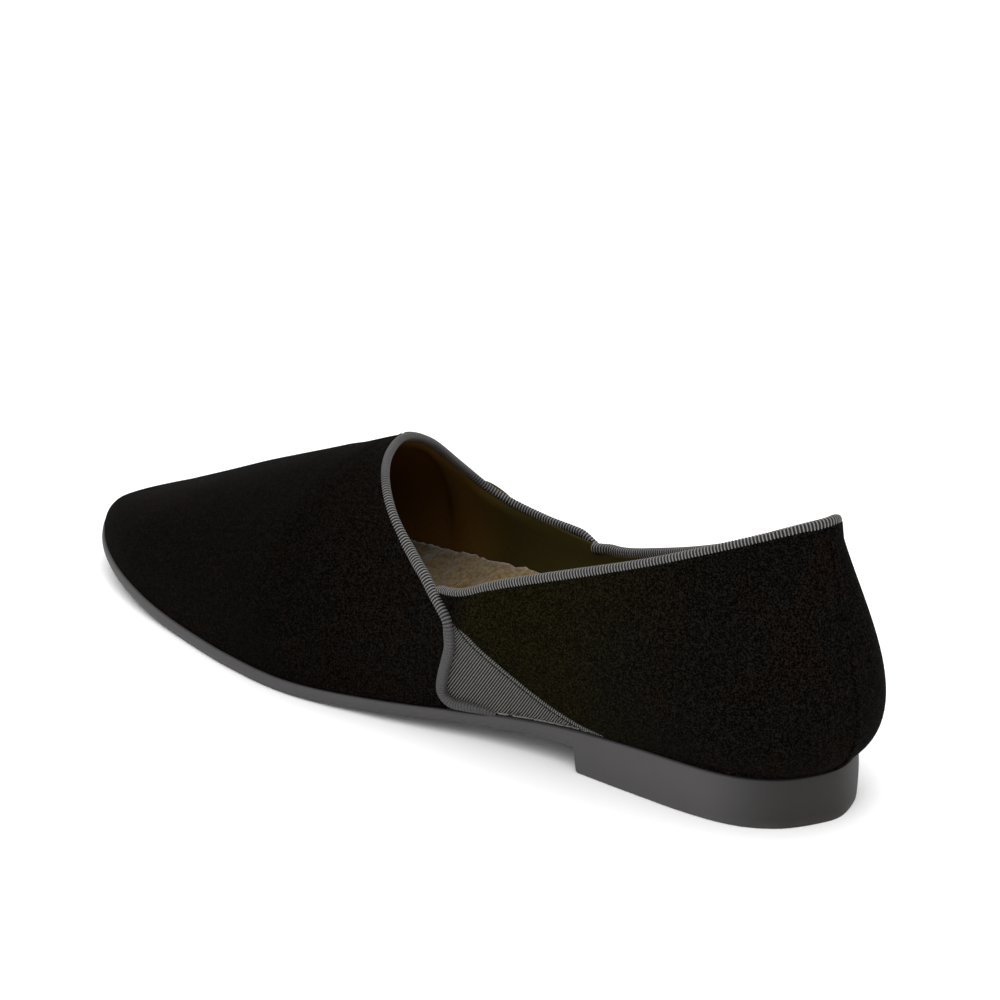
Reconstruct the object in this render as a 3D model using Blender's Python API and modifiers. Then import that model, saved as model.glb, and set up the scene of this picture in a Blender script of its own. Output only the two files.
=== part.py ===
"""A velvet slipper loafer for the left foot, in metres, standing on its sole.

+X points to the toe, +Y to the outer side of the foot and +Z up. The origin is
the middle of the heel's tread, on the floor. The upper is one hollow wall that
is lasted under the foot. A window in each of its sides holds an elastic gore,
and a folded tape binds the vamp's edge and another the top line of the heel.
"""
import math
from collections import namedtuple

import bmesh
import bpy
from mathutils import Vector
from mathutils.bvhtree import BVHTree

# The moulded sole
SOLE_LENGTH = 0.268
BALL_WIDTH = 0.076
HEEL_SEAT_WIDTH = 0.0492
TOE_SWING = 0.006          # the tip lies this far to the inner side of the heel's line
HEEL_LENGTH = 0.066        # from the back to the breast
HEEL_SEAT_HEIGHT = 0.0132  # from the floor to the top of the sole at the back
BREAST_HEIGHT = 0.0066     # from the floor to the waist's underside
SOLE_THICKNESS = 0.0038    # in the forefoot
TOE_SPRING = 0.0088
BALL_AT = 0.182            # middle of the forefoot's flat spot, from the back
TREAD_LENGTH = 0.040       # length of that flat spot
SIDE_DRAFT = 0.0004        # each side of the sole narrows this much on its way down
SIDE_SWELL = 0.0004
TREAD_EDGE = 0.0005        # width of the worn edge round the tread

# The upper
WALL = 0.0020              # velvet, stiffening and lining together
FEATHER_INSET = 0.0006     # the wall stands this far inside the sole's edge
LASTING_MARGIN = 0.007     # how far it is turned in under the foot
TOE_MARGIN = 0.0040        # and at the toe's tip
TOE_WALL = 0.5             # share of the wall's thickness that is left at the toe's tip
BACK_HEIGHT = 0.0790
BACK_LEAN = 0.0040         # the back's top edge lies this far forward of its foot
DIP_AT = 0.098             # where vamp and top line meet, from the back
DIP_HEIGHT_OUTER = 0.0444
DIP_HEIGHT_INNER = 0.0378
THROAT_AT = 0.1475         # the vamp's edge on the instep, from the back
THROAT_HEIGHT = 0.0650
OPENING_WIDTH = 0.064      # at the dip
CREST_END = 0.2540         # where the instep's crest runs out in the toe
CREST_END_HEIGHT = 0.0183
CREST_PEAK_OUTER = 0.10    # slope of the crest's two sides beside the throat
CREST_PEAK_INNER = 0.27
THROAT_FOOT = 0.168        # the rib that ends at the throat stands this far from the back

# The trim
BINDING = 0.0028           # diameter of the folded tape, round the edge that it holds
GORE_DEPTH = 0.0009        # the elastic lies this far under the velvet's face
GORE_THICKNESS = 0.0010
GORE_TOP_DROP = 0.0062     # its upper corner lies this far under the dip
GORE_TOP_AHEAD = 0.0006    # and this far ahead of it
GORE_BACK = 0.0575         # where its rear edge meets the sole, from the back
GORE_REAR_SAG = 0.21       # how far that edge curves below a straight line, as a share of its rise
SOLE_LIP = 0.0010          # height of the wall left under the window
VAMP_CURL = 0.0148         # length of the vamp's tape that turns back along the sole
CLEARANCE = 0.0003

# The fleece footbed
FOOTBED_THICKNESS = 0.0085 # at the heel
FOOTBED_TOE = 0.0045       # thickness at the toe end
FOOTBED_RIM = 0.0062       # the pile stands this much higher along the wall
FOOTBED_GAP = 0.0006
FOOTBED_END = 0.030        # it ends this far from the sole's tip

# A row for each place round the sole, from the back to the toe. Along is a share
# of the sole's length, and the widths are shares of the width beside them.
Outline = namedtuple("Outline", "along outer inner follows")
OUTLINE = [
    Outline(0.0000, 0.000, 0.000, "seat"),
    Outline(0.0075, 0.166, 0.166, "seat"),
    Outline(0.0260, 0.325, 0.322, "seat"),
    Outline(0.0600, 0.440, 0.435, "seat"),
    Outline(0.1120, 0.490, 0.488, "seat"),
    Outline(0.1870, 0.500, 0.500, "seat"),
    Outline(0.2690, 0.506, 0.478, "seat"),
    Outline(0.3550, 0.366, 0.292, "ball"),
    Outline(0.4660, 0.456, 0.316, "ball"),
    Outline(0.5780, 0.518, 0.404, "ball"),
    Outline(0.6720, 0.492, 0.472, "ball"),
    Outline(0.7650, 0.420, 0.480, "ball"),
    Outline(0.8400, 0.352, 0.440, "ball"),
    Outline(0.9070, 0.262, 0.366, "ball"),
    Outline(0.9550, 0.158, 0.256, "ball"),
    Outline(0.9860, 0.038, 0.162, "ball"),
]

# A row for each place round the opening. The first rows are the top line of the
# quarter, where along is a share from the back to the dip and rise a share from
# the dip's height to the back's. The later rows are the vamp's edge, from the
# dip to the throat. Half is a share of the opening's width. Steep is the angle
# below level at which the wall leaves the edge, and flare the angle at which it
# leans out where it leaves the sole.
Edge = namedtuple("Edge", "along half rise steep flare")
TOP_LINE_OUTER = [
    Edge(0.000, 0.000, 1.000, 79, 60), Edge(0.012, 0.066, 0.996, 77, 64),
    Edge(0.040, 0.135, 0.980, 76, 64), Edge(0.116, 0.238, 0.907, 75, 58),
    Edge(0.263, 0.341, 0.754, 77, 38), Edge(0.421, 0.416, 0.590, 82, 26),
    Edge(0.653, 0.484, 0.370, 86, 18), Edge(0.853, 0.522, 0.173, 86, 14),
    Edge(1.000, 0.532, 0.000, 83, 12),
]
TOP_LINE_INNER = [
    Edge(0.000, 0.000, 1.000, 79, 60), Edge(0.012, 0.058, 0.988, 77, 63),
    Edge(0.040, 0.114, 0.945, 76, 66), Edge(0.116, 0.184, 0.852, 75, 62),
    Edge(0.263, 0.264, 0.680, 74, 42), Edge(0.421, 0.334, 0.478, 79, 30),
    Edge(0.653, 0.394, 0.250, 84, 20), Edge(0.853, 0.430, 0.092, 86, 14),
    Edge(1.000, 0.449, 0.000, 86, 12),
]
THROAT_OUTER = [
    Edge(0.190, 0.500, -0.030, 78, 12), Edge(0.400, 0.452, 0.184, 64, 12),
    Edge(0.590, 0.398, 0.471, 50, 13), Edge(0.730, 0.330, 0.670, 42, 14),
    Edge(0.860, 0.236, 0.840, 34, 15), Edge(0.955, 0.124, 0.951, 27, 15),
]
THROAT_INNER = [
    Edge(0.190, 0.462, 0.005, 84, 12), Edge(0.480, 0.466, 0.050, 82, 12),
    Edge(0.740, 0.450, 0.125, 76, 13), Edge(0.880, 0.396, 0.270, 60, 14),
    Edge(0.945, 0.280, 0.550, 40, 15), Edge(0.985, 0.140, 0.860, 29, 15),
]
THROAT = Edge(1.000, 0.000, 1.000, 24, 15)

# A row for each place along the crest, from the throat to the toe, as shares.
Crest = namedtuple("Crest", "along rise")
CREST = [
    Crest(0.00, 1.000), Crest(0.20, 0.791), Crest(0.40, 0.589),
    Crest(0.60, 0.391), Crest(0.80, 0.208), Crest(1.00, 0.024),
]

# A row for each place down the vamp's rear edge, from the dip to the sole.
# Behind is a share of the gore's length, measured back from the dip, and down a
# share of the height between the dip and the sole.
VampLeg = namedtuple("VampLeg", "behind down")
VAMP_LEG = [
    VampLeg(-0.080, 0.225), VampLeg(-0.048, 0.330), VampLeg(-0.048, 0.445),
    VampLeg(-0.100, 0.580), VampLeg(-0.165, 0.725), VampLeg(-0.200, 0.850),
]

OPENING_STEPS = 45         # ribs of the wall beside the opening, on each side
CREST_STEPS = 21           # and from the throat to the toe
RIB_STEPS = 9              # faces up each rib
EVENING = 7                # times that the ribs' points are averaged with their neighbours'
EVENED_CREST = 9           # ribs ahead of the throat that this takes in


def along_x(distance):
    """The x of a place measured from the back of the sole."""
    return distance - HEEL_LENGTH / 2


def smooth(rows, t, closed=False):
    """The smooth curve through the rows, at row number t."""
    count = len(rows)
    i = int(math.floor(t))
    if closed:
        a, b, c, d = (rows[(i + k) % count] for k in (-1, 0, 1, 2))
    else:
        i = max(0, min(count - 2, i))
        b, c = rows[i], rows[i + 1]
        a = rows[i - 1] if i > 0 else tuple(2 * p - q for p, q in zip(b, c))
        d = rows[i + 2] if i + 2 < count else tuple(2 * q - p for p, q in zip(b, c))
    f = t - i
    return tuple(
        0.5 * (2 * q + (r - p) * f + (2 * p - 5 * q + 4 * r - s) * f ** 2
               + (3 * q - p - 3 * r + s) * f ** 3)
        for p, q, r, s in zip(a, b, c, d)
    )


def mix(a, b, share):
    return a + (b - a) * share


def ease(share):
    share = max(0.0, min(1.0, share))
    return share * share * (3 - 2 * share)


def outline_loop():
    """The sole's edge in plan, from the back along the outer side, round the tip and back."""
    width = {"seat": HEEL_SEAT_WIDTH, "ball": BALL_WIDTH}
    outer = [(r.along * SOLE_LENGTH, r.outer * width[r.follows]) for r in OUTLINE]
    inner = [(r.along * SOLE_LENGTH, -r.inner * width[r.follows]) for r in OUTLINE]
    return outer + [(SOLE_LENGTH, -TOE_SWING)] + inner[:0:-1]


LOOP = outline_loop()
TIP = len(OUTLINE)         # the row of the loop that is the toe's tip


def outline_row(distance, side):
    """The loop's row number where one side of the sole is this far from the back."""
    low, high = (0.0, float(TIP)) if side > 0 else (float(len(LOOP)), float(TIP))
    for _ in range(40):
        middle = (low + high) / 2
        if smooth(LOOP, middle, True)[0] < distance:
            low = middle
        else:
            high = middle
    return (low + high) / 2


def outline_point(row):
    """A point of the sole's edge and the direction that faces out of it, in plan."""
    x, y = smooth(LOOP, row, True)
    ahead, behind = smooth(LOOP, row + 0.02, True), smooth(LOOP, row - 0.02, True)
    run = Vector((ahead[0] - behind[0], ahead[1] - behind[1])).normalized()
    return Vector((along_x(x), y)), Vector((-run.y, run.x))


def side_y(distance, side):
    """The y of one side of the sole, this far from the back."""
    return smooth(LOOP, outline_row(distance, side), True)[1]


def toe_lift(distance):
    """How far the toe spring raises the sole."""
    start = BALL_AT + TREAD_LENGTH / 2
    return TOE_SPRING * max(0.0, (distance - start) / (SOLE_LENGTH - start)) ** 1.7


def sole_top(distance):
    """Height of the sole's upper face, this far from the back."""
    end = BALL_AT - TREAD_LENGTH / 2
    start = HEEL_LENGTH * 0.45
    fall = ease((distance - start) / (end - start))
    return mix(HEEL_SEAT_HEIGHT, SOLE_THICKNESS, fall) + toe_lift(distance)


def waist_under(distance):
    """Height of the sole's underside ahead of the heel."""
    end = BALL_AT - TREAD_LENGTH / 2
    share = max(0.0, 1 - (distance - HEEL_LENGTH) / (end - HEEL_LENGTH))
    return BREAST_HEIGHT * ease(share) + toe_lift(distance)


def opening_points(top_line, throat, dip_height, side):
    """Points (x, y, z, steep, flare) of one side of the opening, from the back to the throat."""
    points = []
    for row in top_line:
        x = mix(BACK_LEAN, DIP_AT, row.along)
        z = mix(dip_height, BACK_HEIGHT, row.rise)
        points.append((along_x(x), side * row.half * OPENING_WIDTH, z, row.steep, row.flare))
    for row in throat:
        x = mix(DIP_AT, THROAT_AT, row.along)
        z = mix(dip_height, THROAT_HEIGHT, row.rise)
        points.append((along_x(x), side * row.half * OPENING_WIDTH, z, row.steep, row.flare))
    return points


def opening_loop():
    """The whole opening as a closed loop: up the outer side to the throat, and back."""
    outer = opening_points(TOP_LINE_OUTER, THROAT_OUTER, DIP_HEIGHT_OUTER, 1)
    inner = opening_points(TOP_LINE_INNER, THROAT_INNER, DIP_HEIGHT_INNER, -1)
    throat = (along_x(THROAT_AT), 0.0, THROAT_HEIGHT, THROAT.steep, THROAT.flare)
    return outer + [throat] + inner[:0:-1]


OPENING = opening_loop()
THROAT_ROW = len(TOP_LINE_OUTER) + len(THROAT_OUTER)
DIP_ROW = len(TOP_LINE_OUTER) - 1
OPENING_BACK_X = along_x(BACK_LEAN)
VAMP_START = 1.4           # rows from the dip to where the vamp's tape leaves the opening


def opening_point(row):
    """A point of the opening, its run, and the direction in which the wall leaves it."""
    x, y, z, steep, _ = smooth(OPENING, row, True)
    ahead, behind = smooth(OPENING, row + 0.02, True), smooth(OPENING, row - 0.02, True)
    run = (Vector(ahead[:3]) - Vector(behind[:3])).normalized()
    out = Vector((-run.y, run.x, 0)).normalized()
    angle = math.radians(steep)
    leave = math.cos(angle) * out + Vector((0, 0, -math.sin(angle)))
    leave = (leave - leave.dot(run) * run).normalized()
    return Vector((x, y, z)), run, leave


def crest_point(share):
    """A point of the instep's crest, from the throat to the toe, and its slope."""
    def at(place):
        along, rise = smooth(CREST, place * (len(CREST) - 1))
        swing = -TOE_SWING * ease(along) * 0.8
        height = mix(CREST_END_HEIGHT, THROAT_HEIGHT, rise)
        return Vector((along_x(mix(THROAT_AT, CREST_END, along)), swing, height))
    step = 0.01
    run = at(share + step) - at(share - step)
    return at(share), run.z / run.x


# A rib of the wall: how it leaves the sole and the top edge, as vectors.
Rib = namedtuple("Rib", "margin foot start end top")


def rib_points(rib):
    """Points up the wall, from the turned-in margin to the top."""
    crowding = mix(1.15, 0.65, toe_share(rib.foot.x))
    a, b, c, d = rib.foot, rib.foot + rib.start, rib.top + rib.end, rib.top
    points = [rib.margin]
    for k in range(RIB_STEPS + 1):
        t = (k / RIB_STEPS) ** crowding
        points.append(
            a * (1 - t) ** 3 + b * 3 * t * (1 - t) ** 2 + c * 3 * t ** 2 * (1 - t) + d * t ** 3
        )
    return points


def evened(rows):
    """The rows of points, with those beside the opening averaged with their neighbours'.

    The turned-in margin, the sole's edge and the top edge stay where they are."""
    reach = OPENING_STEPS + EVENED_CREST
    for _ in range(EVENING):
        old = [list(row) for row in rows]
        for i in range(-reach, reach + 1):
            before, after = old[i - 1], old[(i + 1) % len(rows)]
            for k in range(2, len(rows[i]) - 1):
                rows[i][k] = (before[k] + 2 * old[i][k] + after[k]) / 4
    return rows


def leaning(out, flare):
    """The direction up the wall where it leans out by the flare, in degrees."""
    tilt = math.radians(flare)
    return math.sin(tilt) * out + Vector((0, 0, math.cos(tilt)))


def rib_foot(row):
    """Where a rib stands on the sole, the direction out, and its turned-in margin."""
    plan, out = outline_point(row)
    plan = plan - out * FEATHER_INSET
    inner = plan - out * mix(LASTING_MARGIN, TOE_MARGIN, toe_share(plan.x))

    def lifted(spot):
        return Vector((spot.x, spot.y, sole_top(spot.x + HEEL_LENGTH / 2) + CLEARANCE))
    return lifted(plan), Vector((out.x, out.y, 0)), lifted(inner)


def opening_rib(side, share):
    """A rib beside the opening: share 0 is the back seam and 1 the throat."""
    row = THROAT_ROW * share if side > 0 else len(OPENING) - (len(OPENING) - THROAT_ROW) * share
    edge, run, leave = opening_point(row)
    top = edge + leave * (BINDING + CLEARANCE)
    if share == 1:
        top = crest_point((BINDING + CLEARANCE) / (CREST_END - THROAT_AT))[0]
    outer_edge = opening_point(THROAT_ROW * share)[0]
    distance = (outer_edge.x - OPENING_BACK_X) * THROAT_FOOT / (THROAT_AT - BACK_LEAN)
    foot, out, margin = rib_foot(outline_row(min(max(distance, 0.0), THROAT_FOOT), side))
    face = run.cross(leave).normalized()
    level = (out - out.dot(face) * face) * ease(share * 3)
    end = (level + leave * (1 - share ** 14)).normalized()
    flare = smooth(OPENING, row, True)[4]
    reach = (top - foot).length
    start = leaning(out, flare) * reach * mix(0.28, 0.40, ease(share * 2.5))
    end *= reach * mix(0.40, 0.36, ease(share * 2))
    return Rib(margin, foot, start, end, top)


def crest_rib(side, share):
    """A rib ahead of the throat: share 1 is the toe's tip."""
    first = (BINDING + CLEARANCE) / (CREST_END - THROAT_AT)
    top, slope = crest_point(mix(first, 1.0, share))
    start = outline_row(THROAT_FOOT, side)
    foot, out, margin = rib_foot(mix(start, float(TIP), share))
    drop = mix(CREST_PEAK_OUTER if side > 0 else CREST_PEAK_INNER, 0.0, ease(share * 2.0))
    end = Vector((out.x, out.y, slope * out.x - drop)).normalized()
    across = Vector((top.x - foot.x, top.y - foot.y)).length
    start = leaning(out, mix(15, 2, share)) * (top.z - foot.z) * mix(0.50, 0.42, share)
    return Rib(margin, foot, start, end * across * mix(0.63, 0.38, share), top)


def mesh_object(name, vertices, faces, collection):
    mesh = bpy.data.meshes.new(name)
    mesh.from_pydata([tuple(v) for v in vertices], [], faces)
    bm = bmesh.new()
    bm.from_mesh(mesh)
    bmesh.ops.remove_doubles(bm, verts=bm.verts, dist=1e-6)
    bmesh.ops.recalc_face_normals(bm, faces=bm.faces)
    bm.to_mesh(mesh)
    bm.free()
    obj = bpy.data.objects.new(name, mesh)
    collection.objects.link(obj)
    return obj


def upper_surface(collection):
    """The outer face of the whole upper as one open surface, and its turned-in margin."""
    ribs = []
    for k in range(OPENING_STEPS + 1):
        ribs.append(opening_rib(1, k / OPENING_STEPS))
    for k in range(1, CREST_STEPS + 1):
        ribs.append(crest_rib(1, k / CREST_STEPS))
    for k in range(CREST_STEPS - 1, -1, -1):
        ribs.append(crest_rib(-1, k / CREST_STEPS))
    for k in range(OPENING_STEPS - 1, 0, -1):
        ribs.append(opening_rib(-1, k / OPENING_STEPS))
    rows = evened([rib_points(rib) for rib in ribs])
    height = len(rows[0])
    vertices = [point for points in rows for point in points]
    faces = []
    for i in range(len(ribs)):
        j = (i + 1) % len(ribs)
        for k in range(height - 1):
            faces.append((i * height + k, j * height + k, j * height + k + 1, i * height + k + 1))
    return mesh_object("upper_face", vertices, faces, collection)


def faces_out(obj):
    """Turns an open surface's faces so that they point away from the foot."""
    middle = sum((v.co for v in obj.data.vertices), Vector()) / len(obj.data.vertices)
    balance = sum((p.center - middle).dot(p.normal) * p.area for p in obj.data.polygons)
    if balance < 0:
        obj.data.flip_normals()


def toe_share(x):
    """0 behind the toe, rising to 1 at its tip."""
    return ease(1 - (SOLE_LENGTH - HEEL_LENGTH / 2 - x) / 0.030)


def thicken(obj, thickness):
    """Gives an open surface a wall on its inner side, thinner at the toe's tip."""
    group = obj.vertex_groups.new(name="wall")
    for v in obj.data.vertices:
        group.add([v.index], mix(1.0, TOE_WALL, toe_share(v.co.x)), "REPLACE")
    solid = obj.modifiers.new("wall", "SOLIDIFY")
    solid.vertex_group = group.name
    solid.thickness = thickness
    solid.offset = -1
    solid.use_even_offset = True
    solid.use_quality_normals = True


def boolean(obj, cutter, operation):
    cut = obj.modifiers.new(cutter.name, "BOOLEAN")
    cut.operation = operation
    cut.object = cutter
    cut.solver = "EXACT"


def as_cutter(obj):
    obj.hide_render = True
    obj.display_type = "WIRE"
    return obj


def dip_height(side):
    return DIP_HEIGHT_OUTER if side > 0 else DIP_HEIGHT_INNER


def leg_profile(side):
    """The vamp's rear edge seen from the side, (distance from the back, height), top down."""
    gore_length = DIP_AT - GORE_BACK
    points = []
    for row in VAMP_LEG:
        distance = DIP_AT - row.behind * gore_length
        points.append((distance, mix(dip_height(side), sole_top(distance), row.down)))
    return points


def vamp_path(face_tree):
    """The middle of the vamp's tape: along the sole, up one side, round the throat and down."""
    middle = []
    first, last = DIP_ROW + VAMP_START, len(OPENING) - DIP_ROW - VAMP_START
    steps = 80
    for k in range(steps + 1):
        edge, run, leave = opening_point(mix(first, last, k / steps))
        inward = leave.cross(run).normalized()
        sunk = WALL / 2 * ease(min(k, steps - k) / 6)
        middle.append(edge + leave * BINDING / 2 + inward * sunk)
    legs = {}
    for side in (1, -1):
        top = middle[0] if side > 0 else middle[-1]
        profile = [(top.x + HEEL_LENGTH / 2, top.z)] + leg_profile(side)
        profile += [(d, sole_top(d) + h) for d, h in curl_profile(profile[-1][0])]
        leg = []
        count = 4 * (len(profile) - 1)
        for k in range(2, count + 1):
            distance, height = smooth(profile, k / 4)
            start = Vector((along_x(distance), side * 0.12, height))
            spot = face_tree.ray_cast(start, Vector((0, -side, 0)))[0]
            if spot is not None and spot.y * side > 0:
                leg.append(spot)
        legs[side] = leg
    return legs[1][::-1] + middle + legs[-1]


def curl_profile(turn):
    """The tape's last bend, back along the sole, as distances and heights above it."""
    rest = BINDING / 2 + 2 * CLEARANCE
    return [(turn - BINDING * 0.55, rest + BINDING * 0.25), (turn - BINDING * 1.6, rest),
            (turn - VAMP_CURL, rest)]


def top_line_path(vamp_points):
    """The middle of the quarter's tape, from one dip round the back to the other."""
    sides = []
    for side in (1, -1):
        path = []
        for k in range(150):
            edge, run, leave = opening_point(side * (DIP_ROW + VAMP_START) * k / 149)
            inward = leave.cross(run).normalized()
            spot = edge + leave * BINDING / 2 + inward * WALL / 2
            if min((spot - p).length for p in vamp_points) < BINDING + 2 * CLEARANCE:
                break
            path.append(spot)
        sides.append(path)
    return sides[1][:0:-1] + sides[0]


def even_points(points, spacing):
    """The same path with its points about this far apart."""
    kept = [points[0]]
    for point in points[1:]:
        if (point - kept[-1]).length >= spacing:
            kept.append(point)
    kept[-1] = points[-1]
    return kept


def lengthened(points, extra):
    """The same path, running on past both of its ends."""
    start = points[0] + (points[0] - points[1]).normalized() * extra
    end = points[-1] + (points[-1] - points[-2]).normalized() * extra
    return [start] + points + [end]


def tube(name, points, diameter, collection):
    """A round tape along a path, as a closed mesh."""
    data = bpy.data.curves.new(name + "_line", "CURVE")
    data.dimensions = "3D"
    data.bevel_depth = diameter / 2
    data.bevel_resolution = 2
    data.use_fill_caps = True
    spline = data.splines.new("POLY")
    spline.points.add(len(points) - 1)
    for target, point in zip(spline.points, points):
        target.co = (*point, 1)
    curve = bpy.data.objects.new(name + "_line", data)
    collection.objects.link(curve)
    bpy.context.view_layer.update()
    graph = bpy.context.evaluated_depsgraph_get()
    mesh = bpy.data.meshes.new_from_object(curve.evaluated_get(graph))
    bm = bmesh.new()
    bm.from_mesh(mesh)
    bmesh.ops.remove_doubles(bm, verts=bm.verts, dist=1e-5)
    bm.to_mesh(mesh)
    bm.free()
    obj = bpy.data.objects.new(name, mesh)
    obj.matrix_world = curve.matrix_world
    collection.objects.link(obj)
    bpy.data.objects.remove(curve)
    return obj


def window_profile(side, past):
    """The gore's window from the side, as (x, z) points, to this far from the tape's middle."""
    top = (DIP_AT + GORE_TOP_AHEAD, dip_height(side) - GORE_TOP_DROP)
    leg = leg_profile(side)
    front = [(d - past, z) for d, z in leg if z < top[1] - 0.001]
    curl_end = leg[-1][0] - VAMP_CURL - past
    curl_top = BINDING / 2 + 2 * CLEARANCE + past
    lip = CLEARANCE + SOLE_LIP
    low = [(leg[-1][0] - 2 * past, curl_top), (curl_end + 0.001, curl_top)]
    low += [(mix(curl_end, GORE_BACK, k / 6), lip) for k in range(7)]
    bottom = [(d, sole_top(d) + h) for d, h in low]
    rear = []
    for k in range(1, 8):
        share = k / 8
        climb = share - GORE_REAR_SAG * 4 * share * (1 - share)
        rear.append((mix(GORE_BACK, top[0], share), mix(bottom[-1][1], top[1], climb)))
    return [(along_x(d), z) for d, z in [top] + front + bottom + rear]


def drawn_in(profile, distance):
    """A closed profile with each of its edges moved inward by the distance."""
    area = sum(a[0] * b[1] - b[0] * a[1] for a, b in zip(profile, profile[1:] + profile[:1]))
    turn = 1 if area > 0 else -1
    moved = []
    for k, here in enumerate(profile):
        before, after = profile[k - 1], profile[(k + 1) % len(profile)]
        first = Vector((here[0] - before[0], here[1] - before[1])).normalized()
        second = Vector((after[0] - here[0], after[1] - here[1])).normalized()
        normals = [Vector((-v.y, v.x)) * turn for v in (first, second)]
        middle = (normals[0] + normals[1]).normalized()
        reach = distance / max(0.3, middle.dot(normals[0]))
        moved.append((here[0] + middle.x * reach, here[1] + middle.y * reach))
    return moved


def side_prism(name, profile, side, collection):
    """A bar across one side of the shoe, with the profile as its end."""
    near, far = side * 0.012, side * 0.060
    count = len(profile)
    vertices = [(x, near, z) for x, z in profile] + [(x, far, z) for x, z in profile]
    faces = [tuple(range(count)), tuple(range(2 * count - 1, count - 1, -1))]
    for k in range(count):
        n = (k + 1) % count
        faces.append((k, k + count, n + count, n))
    return as_cutter(mesh_object(name, vertices, faces, collection))


def gore(name, side, face, parts, cutters):
    """The elastic panel in one side, under the edges of the vamp and the quarter."""
    low, high = along_x(GORE_BACK - 0.008), along_x(DIP_AT + 0.018)
    bm = bmesh.new()
    bm.from_mesh(face.data)
    bm.normal_update()
    sunk = {v: v.co - v.normal * GORE_DEPTH for v in bm.verts}
    for v, place in sunk.items():
        v.co = place
    outside = []
    for f in bm.faces:
        middle = f.calc_center_median()
        if not low < middle.x < high or middle.y * side < 0 or f.normal.z < -0.7:
            outside.append(f)
    bmesh.ops.delete(bm, geom=outside, context="FACES")
    mesh = bpy.data.meshes.new(name)
    bm.to_mesh(mesh)
    bm.free()
    panel = bpy.data.objects.new(name, mesh)
    parts.objects.link(panel)
    thicken(panel, GORE_THICKNESS)
    outline = drawn_in(window_profile(side, BINDING / 2 + CLEARANCE), CLEARANCE)
    prism = side_prism(name + "_outline", outline, side, cutters)
    boolean(panel, prism, "INTERSECT")
    return panel


def stations(length, count):
    """Distances along the sole, close together at both ends."""
    return [length * (1 - math.cos(math.pi * (k + 0.35) / (count - 0.3))) / 2 for k in range(count)]


def loft(name, sections, collection):
    """A closed solid through a row of like sections."""
    count = len(sections[0])
    vertices = [point for section in sections for point in section]
    faces = [tuple(range(count - 1, -1, -1))]
    for i in range(len(sections) - 1):
        for k in range(count):
            n = (k + 1) % count
            a, b = i * count, (i + 1) * count
            faces.append((a + k, a + n, b + n, b + k))
    start = (len(sections) - 1) * count
    faces.append(tuple(range(start, start + count)))
    return mesh_object(name, vertices, faces, collection)


def sole_section(distance, under):
    """One section of the sole: its top, its swelled and drafted sides and its tread."""
    x = along_x(distance)
    top = sole_top(distance)
    outer, inner = side_y(distance, 1), side_y(distance, -1)
    narrow = min(1.0, (outer - inner) / (8 * SIDE_DRAFT))
    swell, draft, edge = (size * narrow for size in (SIDE_SWELL, SIDE_DRAFT, TREAD_EDGE))
    waist = mix(under, top, 0.6)
    right = [(x, outer, top), (x, outer + swell, waist), (x, outer - draft, under + edge),
             (x, outer - draft - edge, under)]
    left = [(x, inner + draft + edge, under), (x, inner + draft, under + edge),
            (x, inner - swell, waist), (x, inner, top)]
    return right + left


def outsole(collection):
    """The moulded sole and heel in one piece."""
    sections = []
    for distance in stations(SOLE_LENGTH, 44):
        if distance < HEEL_LENGTH - 0.001:
            sections.append(sole_section(distance, 0.0))
    sections.append(sole_section(HEEL_LENGTH, 0.0))
    sections.append(sole_section(HEEL_LENGTH + CLEARANCE, BREAST_HEIGHT))
    for distance in stations(SOLE_LENGTH, 44):
        if distance > HEEL_LENGTH + 0.001:
            sections.append(sole_section(distance, waist_under(distance)))
    return loft("outsole", sections, collection)


def footbed(collection):
    """The fleece insole, dished between the walls of the upper."""
    inset = FEATHER_INSET + WALL + FOOTBED_GAP
    first, last = inset, SOLE_LENGTH - FOOTBED_END
    sections = []
    for share_distance in stations(last - first, 30):
        distance = first + share_distance
        x = along_x(distance)
        low = sole_top(distance) + CLEARANCE + WALL + CLEARANCE
        outer, inner = side_y(distance, 1) - inset, side_y(distance, -1) + inset
        ends = min(distance - first, last - distance)
        shrink = min((outer - inner) * 0.42, inset * max(0.0, 1 - ends / (6 * inset)))
        outer, inner = outer - shrink, inner + shrink
        thick = mix(FOOTBED_THICKNESS, FOOTBED_TOE, (distance - first) / (last - first))
        tall = thick * mix(0.55, 1.0, ease(ends / 0.03))
        rim = FOOTBED_RIM * ease((distance - first) / 0.03) * ease((last - distance) / 0.09)
        across = []
        for share in (0.0, 0.10, 0.26, 0.5, 0.74, 0.90, 1.0):
            lift = rim * abs(2 * share - 1) ** 3
            edge = 0.25 if share in (0.0, 1.0) else 0.0
            across.append((x, mix(outer, inner, share), low + tall * (1 - edge) + lift))
        sections.append([(x, outer, low)] + across + [(x, inner, low)])
    return loft("footbed", sections, collection)


def material(name, colour, roughness):
    made = bpy.data.materials.new(name)
    made.use_nodes = True
    shader = made.node_tree.nodes["Principled BSDF"]
    shader.inputs["Base Color"].default_value = (*colour, 1)
    shader.inputs["Roughness"].default_value = roughness
    shader.inputs["Metallic"].default_value = 0.0
    return made


def finish(obj, look):
    obj.data.materials.clear()
    obj.data.materials.append(look)
    obj.data.shade_smooth()
    obj.data.set_sharp_from_angle(angle=math.radians(40))


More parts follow.
